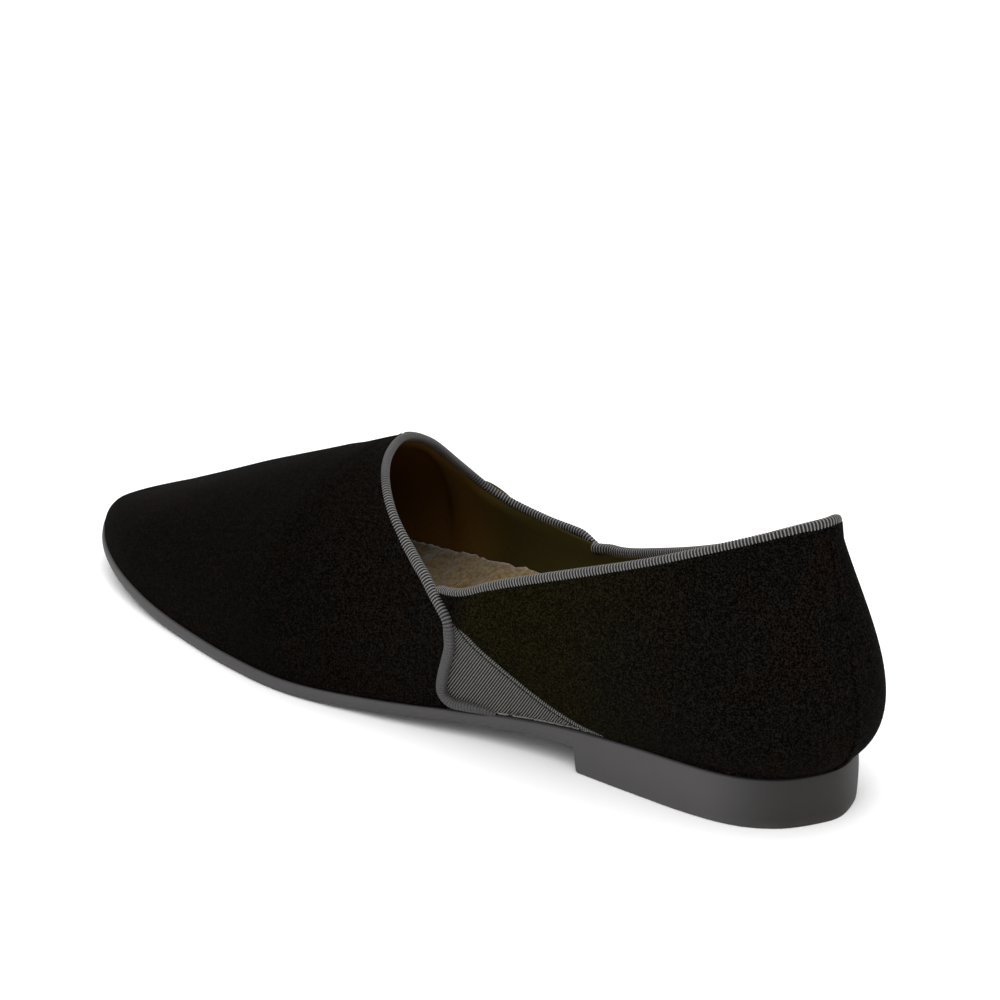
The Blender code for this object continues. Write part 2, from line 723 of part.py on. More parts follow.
def build():
    for obj in list(bpy.data.objects):
        bpy.data.objects.remove(obj)
    parts = bpy.data.collections.new("velvet_slipper_loafer")
    cutters = bpy.data.collections.new("cutters")
    bpy.context.scene.collection.children.link(parts)
    bpy.context.scene.collection.children.link(cutters)

    face = upper_surface(cutters)
    as_cutter(face)
    faces_out(face)
    face_tree = BVHTree.FromPolygons([v.co for v in face.data.vertices],
                                     [tuple(p.vertices) for p in face.data.polygons])
    vamp_points = vamp_path(face_tree)
    top_points = top_line_path(vamp_points)
    vamp_binding = tube("vamp_binding", even_points(vamp_points, BINDING * 0.8), BINDING, parts)
    top_binding = tube("top_line_binding", even_points(top_points, BINDING * 0.8), BINDING, parts)
    grooves = []
    for name, points in (("vamp_groove", vamp_points), ("top_line_groove", top_points)):
        line = lengthened(even_points(points, BINDING * 0.8), BINDING / 2)
        grooves.append(as_cutter(tube(name, line, BINDING + 2 * CLEARANCE, cutters)))

    upper = bpy.data.objects.new("upper", face.data.copy())
    parts.objects.link(upper)
    thicken(upper, WALL)
    for side, word in ((1, "outer"), (-1, "inner")):
        window = window_profile(side, BINDING * 0.2)
        boolean(upper, side_prism(word + "_window", window, side, cutters), "DIFFERENCE")
    for groove in grooves:
        boolean(upper, groove, "DIFFERENCE")
    outer_gore = gore("outer_gore", 1, face, parts, cutters)
    inner_gore = gore("inner_gore", -1, face, parts, cutters)
    sole = outsole(parts)
    bed = footbed(parts)

    velvet = material("black_velvet", (0.006, 0.005, 0.005), 0.95)
    tape = material("grosgrain_tape", (0.045, 0.042, 0.040), 0.7)
    elastic = material("ribbed_elastic", (0.055, 0.054, 0.052), 0.75)
    rubber = material("dark_rubber", (0.085, 0.080, 0.080), 0.6)
    fleece = material("cream_fleece", (0.50, 0.42, 0.28), 0.95)
    finish(upper, velvet)
    for obj in (vamp_binding, top_binding):
        finish(obj, tape)
    for obj in (outer_gore, inner_gore):
        finish(obj, elastic)
    finish(sole, rubber)
    finish(bed, fleece)


build()
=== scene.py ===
"""The velvet slipper loafer, dressed: velvet, tapes, elastic, rubber and fleece.

The shape functions are those of the part, run here with finer steps, so that
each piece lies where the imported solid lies. Lengths are in metres, +X to the
toe, +Y to the outer side of the left foot, and the floor is z = 0.
"""
import math
from collections import namedtuple

import bmesh
import bpy
import numpy as np
from mathutils import Matrix, Vector, noise
from mathutils.bvhtree import BVHTree


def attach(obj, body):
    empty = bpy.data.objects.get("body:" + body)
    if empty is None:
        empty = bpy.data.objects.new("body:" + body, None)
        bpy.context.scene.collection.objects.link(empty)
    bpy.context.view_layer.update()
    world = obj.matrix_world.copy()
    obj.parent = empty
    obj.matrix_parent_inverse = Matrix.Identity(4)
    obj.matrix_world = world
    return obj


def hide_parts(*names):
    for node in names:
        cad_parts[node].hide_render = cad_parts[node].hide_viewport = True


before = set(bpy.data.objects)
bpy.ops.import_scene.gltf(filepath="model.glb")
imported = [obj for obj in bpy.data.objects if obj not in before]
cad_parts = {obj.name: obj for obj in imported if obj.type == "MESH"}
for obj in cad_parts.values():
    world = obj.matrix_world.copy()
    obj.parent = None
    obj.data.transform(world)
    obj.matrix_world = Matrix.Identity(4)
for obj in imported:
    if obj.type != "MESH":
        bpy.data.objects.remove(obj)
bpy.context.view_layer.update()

FINER = 3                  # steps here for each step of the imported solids

# The moulded sole
SOLE_LENGTH = 0.268
BALL_WIDTH = 0.076
HEEL_SEAT_WIDTH = 0.0492
TOE_SWING = 0.006          # the tip lies this far to the inner side of the heel's line
HEEL_LENGTH = 0.066        # from the back to the breast
HEEL_SEAT_HEIGHT = 0.0132  # from the floor to the top of the sole at the back
BREAST_HEIGHT = 0.0066     # from the floor to the waist's underside
SOLE_THICKNESS = 0.0038    # in the forefoot
TOE_SPRING = 0.0088
BALL_AT = 0.182            # middle of the forefoot's flat spot, from the back
TREAD_LENGTH = 0.040       # length of that flat spot
SIDE_DRAFT = 0.0004        # each side of the sole narrows this much on its way down
SIDE_SWELL = 0.0004

# The upper
WALL = 0.0020              # velvet, stiffening and lining together
FEATHER_INSET = 0.0006     # the wall stands this far inside the sole's edge
BACK_HEIGHT = 0.0790
BACK_LEAN = 0.0040         # the back's top edge lies this far forward of its foot
DIP_AT = 0.098             # where vamp and top line meet, from the back
DIP_HEIGHT_OUTER = 0.0444
DIP_HEIGHT_INNER = 0.0378
THROAT_AT = 0.1475         # the vamp's edge on the instep, from the back
THROAT_HEIGHT = 0.0650
OPENING_WIDTH = 0.064      # at the dip
CREST_END = 0.2540         # where the instep's crest runs out in the toe
CREST_END_HEIGHT = 0.0183
CREST_PEAK_OUTER = 0.10    # slope of the crest's two sides beside the throat
CREST_PEAK_INNER = 0.27
THROAT_FOOT = 0.168        # the rib that ends at the throat stands this far from the back

# The trim
BINDING = 0.0028           # diameter of the folded tape, round the edge that it holds
GORE_TOP_DROP = 0.0062     # its upper corner lies this far under the dip
GORE_TOP_AHEAD = 0.0006    # and this far ahead of it
GORE_BACK = 0.0575         # where its rear edge meets the sole, from the back
GORE_REAR_SAG = 0.21       # how far that edge curves below a straight line, as a share of its rise
SOLE_LIP = 0.0010          # height of the wall left under the window
VAMP_CURL = 0.0148         # length of the vamp's tape that turns back along the sole
CLEARANCE = 0.0003

# The fleece footbed
FOOTBED_THICKNESS = 0.0085 # at the heel
FOOTBED_TOE = 0.0045       # thickness at the toe end
FOOTBED_RIM = 0.0062       # the pile stands this much higher along the wall
FOOTBED_GAP = 0.0006
FOOTBED_END = 0.030        # it ends this far from the sole's tip

# A row for each place round the sole, from the back to the toe. Along is a share
# of the sole's length, and the widths are shares of the width beside them.
Outline = namedtuple("Outline", "along outer inner follows")
OUTLINE = [
    Outline(0.0000, 0.000, 0.000, "seat"),
    Outline(0.0075, 0.166, 0.166, "seat"),
    Outline(0.0260, 0.325, 0.322, "seat"),
    Outline(0.0600, 0.440, 0.435, "seat"),
    Outline(0.1120, 0.490, 0.488, "seat"),
    Outline(0.1870, 0.500, 0.500, "seat"),
    Outline(0.2690, 0.506, 0.478, "seat"),
    Outline(0.3550, 0.366, 0.292, "ball"),
    Outline(0.4660, 0.456, 0.316, "ball"),
    Outline(0.5780, 0.518, 0.404, "ball"),
    Outline(0.6720, 0.492, 0.472, "ball"),
    Outline(0.7650, 0.420, 0.480, "ball"),
    Outline(0.8400, 0.352, 0.440, "ball"),
    Outline(0.9070, 0.262, 0.366, "ball"),
    Outline(0.9550, 0.158, 0.256, "ball"),
    Outline(0.9860, 0.038, 0.162, "ball"),
]

# A row for each place round the opening. The first rows are the top line of the
# quarter, where along is a share from the back to the dip and rise a share from
# the dip's height to the back's. The later rows are the vamp's edge, from the
# dip to the throat. Half is a share of the opening's width. Steep is the angle
# below level at which the wall leaves the edge, and flare the angle at which it
# leans out where it leaves the sole.
Edge = namedtuple("Edge", "along half rise steep flare")
TOP_LINE_OUTER = [
    Edge(0.000, 0.000, 1.000, 79, 60), Edge(0.012, 0.066, 0.996, 77, 64),
    Edge(0.040, 0.135, 0.980, 76, 64), Edge(0.116, 0.238, 0.907, 75, 58),
    Edge(0.263, 0.341, 0.754, 77, 38), Edge(0.421, 0.416, 0.590, 82, 26),
    Edge(0.653, 0.484, 0.370, 86, 18), Edge(0.853, 0.522, 0.173, 86, 14),
    Edge(1.000, 0.532, 0.000, 83, 12),
]
TOP_LINE_INNER = [
    Edge(0.000, 0.000, 1.000, 79, 60), Edge(0.012, 0.058, 0.988, 77, 63),
    Edge(0.040, 0.114, 0.945, 76, 66), Edge(0.116, 0.184, 0.852, 75, 62),
    Edge(0.263, 0.264, 0.680, 74, 42), Edge(0.421, 0.334, 0.478, 79, 30),
    Edge(0.653, 0.394, 0.250, 84, 20), Edge(0.853, 0.430, 0.092, 86, 14),
    Edge(1.000, 0.449, 0.000, 86, 12),
]
THROAT_OUTER = [
    Edge(0.190, 0.500, -0.030, 78, 12), Edge(0.400, 0.452, 0.184, 64, 12),
    Edge(0.590, 0.398, 0.471, 50, 13), Edge(0.730, 0.330, 0.670, 42, 14),
    Edge(0.860, 0.236, 0.840, 34, 15), Edge(0.955, 0.124, 0.951, 27, 15),
]
THROAT_INNER = [
    Edge(0.190, 0.462, 0.005, 84, 12), Edge(0.480, 0.466, 0.050, 82, 12),
    Edge(0.740, 0.450, 0.125, 76, 13), Edge(0.880, 0.396, 0.270, 60, 14),
    Edge(0.945, 0.280, 0.550, 40, 15), Edge(0.985, 0.140, 0.860, 29, 15),
]
THROAT = Edge(1.000, 0.000, 1.000, 24, 15)

# A row for each place along the crest, from the throat to the toe, as shares.
Crest = namedtuple("Crest", "along rise")
CREST = [
    Crest(0.00, 1.000), Crest(0.20, 0.791), Crest(0.40, 0.589),
    Crest(0.60, 0.391), Crest(0.80, 0.208), Crest(1.00, 0.024),
]

# A row for each place down the vamp's rear edge, from the dip to the sole.
# Behind is a share of the gore's length, measured back from the dip, and down a
# share of the height between the dip and the sole.
VampLeg = namedtuple("VampLeg", "behind down")
VAMP_LEG = [
    VampLeg(-0.080, 0.225), VampLeg(-0.048, 0.330), VampLeg(-0.048, 0.445),
    VampLeg(-0.100, 0.580), VampLeg(-0.165, 0.725), VampLeg(-0.200, 0.850),
]

BESIDE = 45 * FINER        # ribs of the wall beside the opening, on each side
AHEAD = 21 * FINER         # and from the throat to the toe
UP = 9 * FINER             # faces up each rib
AROUND = 2 * (BESIDE + AHEAD)
EVENING = 7                # times that the ribs' points are averaged with their neighbours'
EVENED_CREST = 9 * FINER   # ribs ahead of the throat that this takes in
TOE_EVENING = 14           # further rounds of averaging round the toe
CREST_ROUNDING = 30        # rounds that soften the ridge of the instep
CREST_WIDTH = 7.0          # points to each side over which its height is kept
CREST_REACH = 16           # points to each side that this moves
KEPT_LOW = 2               # points at the foot of each rib that these two leave in place
TIP_BULGE = 0.6            # share of the last step that the toe's tip goes on by


def along_x(distance):
    """The x of a place measured from the back of the sole."""
    return distance - HEEL_LENGTH / 2


def smooth(rows, t, closed=False):
    """The smooth curve through the rows, at row number t."""
    count = len(rows)
    i = int(math.floor(t))
    if closed:
        a, b, c, d = (rows[(i + k) % count] for k in (-1, 0, 1, 2))
    else:
        i = max(0, min(count - 2, i))
        b, c = rows[i], rows[i + 1]
        a = rows[i - 1] if i > 0 else tuple(2 * p - q for p, q in zip(b, c))
        d = rows[i + 2] if i + 2 < count else tuple(2 * q - p for p, q in zip(b, c))
    f = t - i
    return tuple(
        0.5 * (2 * q + (r - p) * f + (2 * p - 5 * q + 4 * r - s) * f ** 2
               + (3 * q - p - 3 * r + s) * f ** 3)
        for p, q, r, s in zip(a, b, c, d)
    )


def mix(a, b, share):
    return a + (b - a) * share


def ease(share):
    share = max(0.0, min(1.0, share))
    return share * share * (3 - 2 * share)


def outline_loop():
    """The sole's edge in plan, from the back along the outer side, round the tip and back."""
    width = {"seat": HEEL_SEAT_WIDTH, "ball": BALL_WIDTH}
    outer = [(r.along * SOLE_LENGTH, r.outer * width[r.follows]) for r in OUTLINE]
    inner = [(r.along * SOLE_LENGTH, -r.inner * width[r.follows]) for r in OUTLINE]
    return outer + [(SOLE_LENGTH, -TOE_SWING)] + inner[:0:-1]


LOOP = outline_loop()
TIP = len(OUTLINE)         # the row of the loop that is the toe's tip


def outline_row(distance, side):
    """The loop's row number where one side of the sole is this far from the back."""
    low, high = (0.0, float(TIP)) if side > 0 else (float(len(LOOP)), float(TIP))
    for _ in range(40):
        middle = (low + high) / 2
        if smooth(LOOP, middle, True)[0] < distance:
            low = middle
        else:
            high = middle
    return (low + high) / 2


def outline_point(row):
    """A point of the sole's edge and the direction that faces out of it, in plan."""
    x, y = smooth(LOOP, row, True)
    ahead, behind = smooth(LOOP, row + 0.02, True), smooth(LOOP, row - 0.02, True)
    run = Vector((ahead[0] - behind[0], ahead[1] - behind[1])).normalized()
    return Vector((along_x(x), y)), Vector((-run.y, run.x))


def side_y(distance, side):
    """The y of one side of the sole, this far from the back."""
    return smooth(LOOP, outline_row(distance, side), True)[1]


def toe_lift(distance):
    """How far the toe spring raises the sole."""
    start = BALL_AT + TREAD_LENGTH / 2
    return TOE_SPRING * max(0.0, (distance - start) / (SOLE_LENGTH - start)) ** 1.7


def sole_top(distance):
    """Height of the sole's upper face, this far from the back."""
    end = BALL_AT - TREAD_LENGTH / 2
    start = HEEL_LENGTH * 0.45
    fall = ease((distance - start) / (end - start))
    return mix(HEEL_SEAT_HEIGHT, SOLE_THICKNESS, fall) + toe_lift(distance)


def sole_face(x):
    """Height just clear of the sole's upper face, at this x."""
    return sole_top(x + HEEL_LENGTH / 2) + CLEARANCE


def waist_under(distance):
    """Height of the sole's underside ahead of the heel."""
    end = BALL_AT - TREAD_LENGTH / 2
    share = max(0.0, 1 - (distance - HEEL_LENGTH) / (end - HEEL_LENGTH))
    return BREAST_HEIGHT * ease(share) + toe_lift(distance)


def dip_height(side):
    return DIP_HEIGHT_OUTER if side > 0 else DIP_HEIGHT_INNER


def opening_points(top_line, throat, side):
    """Points (x, y, z, steep, flare) of one side of the opening, from the back to the throat."""
    points = []
    for rows, start, end, height in (
            (top_line, BACK_LEAN, DIP_AT, BACK_HEIGHT), (throat, DIP_AT, THROAT_AT, THROAT_HEIGHT)):
        for row in rows:
            x, z = mix(start, end, row.along), mix(dip_height(side), height, row.rise)
            points.append((along_x(x), side * row.half * OPENING_WIDTH, z, row.steep, row.flare))
    return points


def opening_loop():
    """The whole opening as a closed loop: up the outer side to the throat, and back."""
    outer = opening_points(TOP_LINE_OUTER, THROAT_OUTER, 1)
    inner = opening_points(TOP_LINE_INNER, THROAT_INNER, -1)
    throat = (along_x(THROAT_AT), 0.0, THROAT_HEIGHT, THROAT.steep, THROAT.flare)
    return outer + [throat] + inner[:0:-1]


OPENING = opening_loop()
THROAT_ROW = len(TOP_LINE_OUTER) + len(THROAT_OUTER)
DIP_ROW = len(TOP_LINE_OUTER) - 1
OPENING_BACK_X = along_x(BACK_LEAN)
VAMP_START = 1.4           # rows from the dip to where the vamp's tape leaves the opening


def opening_point(row):
    """A point of the opening, its run, and the direction in which the wall leaves it."""
    x, y, z, steep, _ = smooth(OPENING, row, True)
    ahead, behind = smooth(OPENING, row + 0.02, True), smooth(OPENING, row - 0.02, True)
    run = (Vector(ahead[:3]) - Vector(behind[:3])).normalized()
    out = Vector((-run.y, run.x, 0)).normalized()
    angle = math.radians(steep)
    leave = math.cos(angle) * out + Vector((0, 0, -math.sin(angle)))
    leave = (leave - leave.dot(run) * run).normalized()
    return Vector((x, y, z)), run, leave


def crest_point(share):
    """A point of the instep's crest, from the throat to the toe, and its slope."""
    def at(place):
        along, rise = smooth(CREST, place * (len(CREST) - 1))
        swing = -TOE_SWING * ease(along) * 0.8
        height = mix(CREST_END_HEIGHT, THROAT_HEIGHT, rise)
        return Vector((along_x(mix(THROAT_AT, CREST_END, along)), swing, height))
    step = 0.01
    run = at(share + step) - at(share - step)
    return at(share), run.z / run.x


def rib_points(foot, start, end, top):
    """Points up the wall, which leaves the sole by the one vector and the top by the other."""
    crowding = mix(1.15, 0.65, toe_share(foot.x))
    a, b, c, d = foot, foot + start, top + end, top
    points = []
    for k in range(UP + 1):
        t = (k / UP) ** crowding
        points.append(
            a * (1 - t) ** 3 + b * 3 * t * (1 - t) ** 2 + c * 3 * t ** 2 * (1 - t) + d * t ** 3
        )
    return points


def toe_share(x):
    """0 behind the toe, rising to 1 at its tip."""
    return ease(1 - (SOLE_LENGTH - HEEL_LENGTH / 2 - x) / 0.030)


def leaning(out, flare):
    """The direction up the wall where it leans out by the flare, in degrees."""
    tilt = math.radians(flare)
    return math.sin(tilt) * out + Vector((0, 0, math.cos(tilt)))


def rib_foot(row):
    """Where a rib stands on the sole, and the direction out."""
    plan, out = outline_point(row)
    plan = plan - out * FEATHER_INSET
    return Vector((*plan, sole_face(plan.x))), Vector((*out, 0))


def opening_rib(side, share):
    """A rib beside the opening: share 0 is the back seam and 1 the throat."""
    row = THROAT_ROW * share if side > 0 else len(OPENING) - (len(OPENING) - THROAT_ROW) * share
    edge, run, leave = opening_point(row)
    top = edge + leave * (BINDING + CLEARANCE)
    if share == 1:
        top = crest_point((BINDING + CLEARANCE) / (CREST_END - THROAT_AT))[0]
    outer_edge = opening_point(THROAT_ROW * share)[0]
    distance = (outer_edge.x - OPENING_BACK_X) * THROAT_FOOT / (THROAT_AT - BACK_LEAN)
    foot, out = rib_foot(outline_row(min(max(distance, 0.0), THROAT_FOOT), side))
    face = run.cross(leave).normalized()
    level = (out - out.dot(face) * face) * ease(share * 3)
    end = (level + leave * (1 - share ** 14)).normalized()
    flare = smooth(OPENING, row, True)[4]
    reach = (top - foot).length
    start = leaning(out, flare) * reach * mix(0.28, 0.40, ease(share * 2.5))
    end *= reach * mix(0.40, 0.36, ease(share * 2))
    return foot, start, end, top


def crest_rib(side, share):
    """A rib ahead of the throat: share 1 is the toe's tip."""
    first = (BINDING + CLEARANCE) / (CREST_END - THROAT_AT)
    top, slope = crest_point(mix(first, 1.0, share))
    start = outline_row(THROAT_FOOT, side)
    foot, out = rib_foot(mix(start, float(TIP), share))
    drop = mix(CREST_PEAK_OUTER if side > 0 else CREST_PEAK_INNER, 0.0, ease(share * 2.0))
    end = Vector((out.x, out.y, slope * out.x - drop)).normalized()
    across = Vector((top.x - foot.x, top.y - foot.y)).length
    start = leaning(out, mix(15, 2, share)) * (top.z - foot.z) * mix(0.50, 0.42, share)
    return foot, start, end * across * mix(0.63, 0.38, share), top


def leg_profile(side):
    """The vamp's rear edge seen from the side, (distance from the back, height), top down."""
    gore_length = DIP_AT - GORE_BACK
    points = []
    for row in VAMP_LEG:
        distance = DIP_AT - row.behind * gore_length
        points.append((distance, mix(dip_height(side), sole_top(distance), row.down)))
    return points


def vamp_path(face_tree):
    """The middle of the vamp's tape: along the sole, up one side, round the throat and down."""
    middle = []
    first, last = DIP_ROW + VAMP_START, len(OPENING) - DIP_ROW - VAMP_START
    steps = 80
    for k in range(steps + 1):
        edge, run, leave = opening_point(mix(first, last, k / steps))
        inward = leave.cross(run).normalized()
        sunk = WALL / 2 * ease(min(k, steps - k) / 6)
        middle.append(edge + leave * BINDING / 2 + inward * sunk)
    legs = {}
    for side in (1, -1):
        top = middle[0] if side > 0 else middle[-1]
        profile = [(top.x + HEEL_LENGTH / 2, top.z)] + leg_profile(side)
        profile += [(d, sole_top(d) + h) for d, h in curl_profile(profile[-1][0])]
        leg = []
        count = 4 * (len(profile) - 1)
        for k in range(2, count + 1):
            distance, height = smooth(profile, k / 4)
            start = Vector((along_x(distance), side * 0.12, height))
            spot = face_tree.ray_cast(start, Vector((0, -side, 0)))[0]
            if spot is not None and spot.y * side > 0:
                leg.append(spot)
        legs[side] = leg
    return legs[1][::-1] + middle + legs[-1]


def curl_profile(turn):
    """The tape's last bend, back along the sole, as distances and heights above it."""
    rest = BINDING / 2 + 2 * CLEARANCE
    return [(turn - BINDING * 0.55, rest + BINDING * 0.25), (turn - BINDING * 1.6, rest),
            (turn - VAMP_CURL, rest)]


def top_line_path(vamp_points):
    """The middle of the quarter's tape, from one dip round the back to the other."""
    sides = []
    for side in (1, -1):
        path = []
        for k in range(150):
            edge, run, leave = opening_point(side * (DIP_ROW + VAMP_START) * k / 149)
            inward = leave.cross(run).normalized()
            spot = edge + leave * BINDING / 2 + inward * WALL / 2
            if min((spot - p).length for p in vamp_points) < BINDING + 2 * CLEARANCE:
                break
            path.append(spot)
        sides.append(path)
    return sides[1][:0:-1] + sides[0]


def gore_rear(side):
    """The gore's rear edge from the side, as (x, z) points, from the sole up to its top corner."""
    top = (DIP_AT + GORE_TOP_AHEAD, dip_height(side) - GORE_TOP_DROP)
    foot = (GORE_BACK, sole_top(GORE_BACK) + CLEARANCE + SOLE_LIP)
    points = []
    for k in range(9):
        share = k / 8
        climb = share - GORE_REAR_SAG * 4 * share * (1 - share)
        points.append((along_x(mix(foot[0], top[0], share)), mix(foot[1], top[1], climb)))
    return points


# The velvet and its lining
VELVET_THICKNESS = 0.0011
LINING_DEPTH = 0.0017      # the lining's face under the velvet's
LINING_THICKNESS = 0.0004
SEAM_HEIGHT = 0.0006       # of the ridge up the back
SEAM_WIDTH = 0.0011
QUARTER_TUCK = 0.007       # how far the quarter's front corner runs on under the vamp
QUARTER_SINK = 0.0008      # and how far it lies deeper there
TUCK_START = 0.0024        # it begins to sink this far behind the vamp's edge
TUCK_LENGTH = 0.0018       # and has sunk after this much more
WELD = 2e-5                # points closer than this become one

# The tapes. Plain places and slim places are shares along the vamp's tape, from its
# outer end to its inner one: how far the ribs fade there, and how wide the tape is.
RIB_PITCH = 0.00088
RIB_DEPTH = 0.00022
RIB_ROUND = 1.1            # over 1 the ribs are narrower and their grooves wider
TAPE_SQUARE = 0.8          # under 1 the tape's section is squarer than an ellipse
TAPE_AROUND = 16           # points round a tape's section
TAPE_ALONG = 8             # and along each of its ribs
PATH_STEP = 0.0004         # between the points of a tape's line
PLAIN_TAPE = 0.2           # how dark the tape is without ribs, between crest and groove
PLAIN_PLACES = [(0.0, 0.8), (0.17, 0.85), (0.21, 0.0), (0.36, 0.0), (0.41, 0.85),
                (0.60, 0.85), (0.66, 0.0), (0.79, 0.0), (0.83, 0.85), (1.0, 0.8)]
SLIM_PLACES = [(0.30, 1), (0.42, 0.86), (0.58, 0.78), (1.0, 0.78)]

# The elastic gores
ELASTIC_PITCH = 0.00063
ELASTIC_DEPTH = 0.00024
ELASTIC_ROUND = 1.2
ELASTIC_THICKNESS = 0.0003
GORE_REST = 0.00062        # the elastic's face under the velvet's
GORE_SINK = 0.0007         # and this much deeper where it runs up inside the quarter
GORE_SLANT = math.radians(9)   # the ribs lean this much from square to its rear edge
GORE_HIDDEN = 0.008        # the elastic runs on this far at both ends of its rear edge
GORE_UNDER = 0.0045        # and this far under the quarter at those ends
GORE_BELLY = 0.004         # with this much more at the middle
GORE_REACH = 0.034         # from its rear edge to its front edge
GORE_TUCK = 0.004          # how far it runs on under the vamp

# What runs along a gore's rear edge: how far in from it and how far raised, half its
# width and height, the pitch and depth of its ribs, and the points round its section.
GoreLine = namedtuple("GoreLine", "name look inset raised width height pitch depth around")
GORE_LINES = [
    GoreLine("selvedge", "elastic", 0.0011, 0.00010, 0.0007, 0.00030, ELASTIC_PITCH, 0.00012, 10),
    GoreLine("stitching", "thread", 0.0022, 0.00012, 0.00017, 0.00013, 2 * ELASTIC_PITCH, 0.00013, 6),
]

# The fleece and the moulded sole
FLEECE_BACKING = 0.003     # thickness of the fleece with what it is glued to
FLEECE_ROWS = 260
FLEECE_ACROSS = 84
SOLE_SECTIONS = 200
RIM_ROUND = 0.0005         # radius of the sole's upper edge
TREAD_ROUND = 0.0007       # and of its lower edge


def face_grid():
    """Rows of points of the upper's outer face, each from the sole up, closed round the shoe."""
    ribs = [opening_rib(1, k / BESIDE) for k in range(BESIDE + 1)]
    ribs += [crest_rib(1, k / AHEAD) for k in range(1, AHEAD + 1)]
    ribs += [crest_rib(-1, k / AHEAD) for k in range(AHEAD - 1, -1, -1)]
    ribs += [opening_rib(-1, k / BESIDE) for k in range(BESIDE - 1, 0, -1)]
    rows = np.array([[tuple(p) for p in rib_points(*rib)] for rib in ribs])
    reach = BESIDE + EVENED_CREST
    near = np.arange(-reach, reach + 1)
    for _ in range(EVENING * FINER ** 2):
        old = rows.copy()
        mean = (old[near - 1] + 2 * old[near] + old[(near + 1) % AROUND]) / 4
        rows[near, 1:-1] = mean[:, 1:-1]
    toe = np.arange(BESIDE + int(AHEAD * 0.55), BESIDE + AHEAD + int(AHEAD * 0.45) + 1)
    for _ in range(TOE_EVENING):
        mean = (rows[toe - 1] + 2 * rows[toe] + rows[toe + 1]) / 4
        rows[toe, KEPT_LOW:-1] = mean[:, KEPT_LOW:-1]
    return rounded_crest(rows)


def rounded_crest(rows):
    """The rows with the instep's ridge rounded off, and its top kept at its height."""
    middle = UP - KEPT_LOW
    for k in range(1, AHEAD):
        outer, inner = BESIDE + k, BESIDE + 2 * AHEAD - k
        strip = np.concatenate([rows[outer, KEPT_LOW:], rows[inner, KEPT_LOW:-1][::-1]])
        soft = strip.copy()
        for _ in range(CREST_ROUNDING):
            soft[1:-1] = (soft[:-2] + 2 * soft[1:-1] + soft[2:]) / 4
        away = np.abs(np.arange(len(strip)) - middle)
        near = np.exp(-0.5 * (away / CREST_WIDTH) ** 2)[:, None]
        reach = np.clip((CREST_REACH - away) / 8, 0, 1)[:, None] * min(1, k / 12)
        lift = max(0.0, strip[middle][2] - soft[middle][2]) * near * np.array([0, 0, 1])
        strip = strip + (soft + lift - strip) * reach
        rows[outer, KEPT_LOW:] = strip[:middle + 1]
        rows[inner, KEPT_LOW:] = strip[middle:][::-1]
    tip = BESIDE + AHEAD
    beside_tip = (rows[tip - 1] + rows[tip + 1]) / 2
    behind_tip = (rows[tip - 2] + rows[tip + 2]) / 2
    rows[tip, KEPT_LOW:] = (beside_tip + TIP_BULGE * (beside_tip - behind_tip))[KEPT_LOW:]
    return rows


class Sheet:
    """A surface as points and faces, with the outward direction at each point."""

    def __init__(self, points, faces, groove=None):
        self.points = np.asarray(points, float)
        self.faces = faces
        self.groove = np.zeros(len(points)) if groove is None else np.asarray(groove, float)

    def normals(self):
        total = np.zeros_like(self.points)
        for face in self.faces:
            a, b, c = (self.points[face[k]] for k in (0, 1, 2))
            if len(face) == 4:
                turn = np.cross(c - a, self.points[face[3]] - b)
            else:
                turn = np.cross(b - a, c - a)
            for k in face:
                total[k] += turn
        length = np.linalg.norm(total, axis=1)
        return total / np.maximum(length, 1e-12)[:, None]

    def moved(self, distance):
        """The same sheet with each point moved along its outward direction."""
        return Sheet(self.points + self.normals() * np.reshape(distance, (-1, 1)), self.faces)

    def trimmed(self, keep):
        """The part of the sheet where keep is above zero, cut cleanly along its zero line."""
        points = [tuple(p) for p in self.points]
        groove = list(self.groove)
        cuts = {}

        def cut(a, b):
            key = (min(a, b), max(a, b))
            if key not in cuts:
                f = keep[a] / (keep[a] - keep[b])
                cuts[key] = len(points)
                points.append(tuple(p + (q - p) * f for p, q in zip(points[a], points[b])))
                groove.append(groove[a] + (groove[b] - groove[a]) * f)
            return cuts[key]

        faces = []
        for face in self.faces:
            made = []
            for k, here in enumerate(face):
                following = face[(k + 1) % len(face)]
                if keep[here] >= 0:
                    made.append(here)
                if (keep[here] >= 0) != (keep[following] >= 0):
                    made.append(cut(here, following))
            if len(made) > 2:
                faces.append(tuple(made))
        used = sorted({k for face in faces for k in face})
        place = {k: i for i, k in enumerate(used)}
        return Sheet([points[k] for k in used], [tuple(place[k] for k in f) for f in faces],
                     [groove[k] for k in used])

    def facing(self, sides):
        """The same sheet, turned so that its faces look along these directions."""
        if (self.normals() * sides).sum() < 0:
            self.faces = [f[::-1] for f in self.faces]
        return self

    def mesh(self, name, thickness=0.0, sharp=None):
        """The sheet as an object: given a thickness, or closed and sharp over an angle."""
        data = bpy.data.meshes.new(name)
        data.from_pydata([tuple(p) for p in self.points], [], self.faces)
        if self.groove.any():
            data.attributes.new("groove", "FLOAT", "POINT").data.foreach_set("value", self.groove)
        bm = bmesh.new()
        bm.from_mesh(data)
        bmesh.ops.remove_doubles(bm, verts=bm.verts, dist=WELD)
        if sharp:
            bmesh.ops.recalc_face_normals(bm, faces=bm.faces)
        bm.to_mesh(data)
        bm.free()
        obj = bpy.data.objects.new(name, data)
        bpy.context.scene.collection.objects.link(obj)
        if thickness:
            solid = obj.modifiers.new("thickness", "SOLIDIFY")
            solid.thickness = thickness
            solid.offset = -1
        data.shade_smooth()
        if sharp:
            data.set_sharp_from_angle(angle=math.radians(sharp))
        return obj


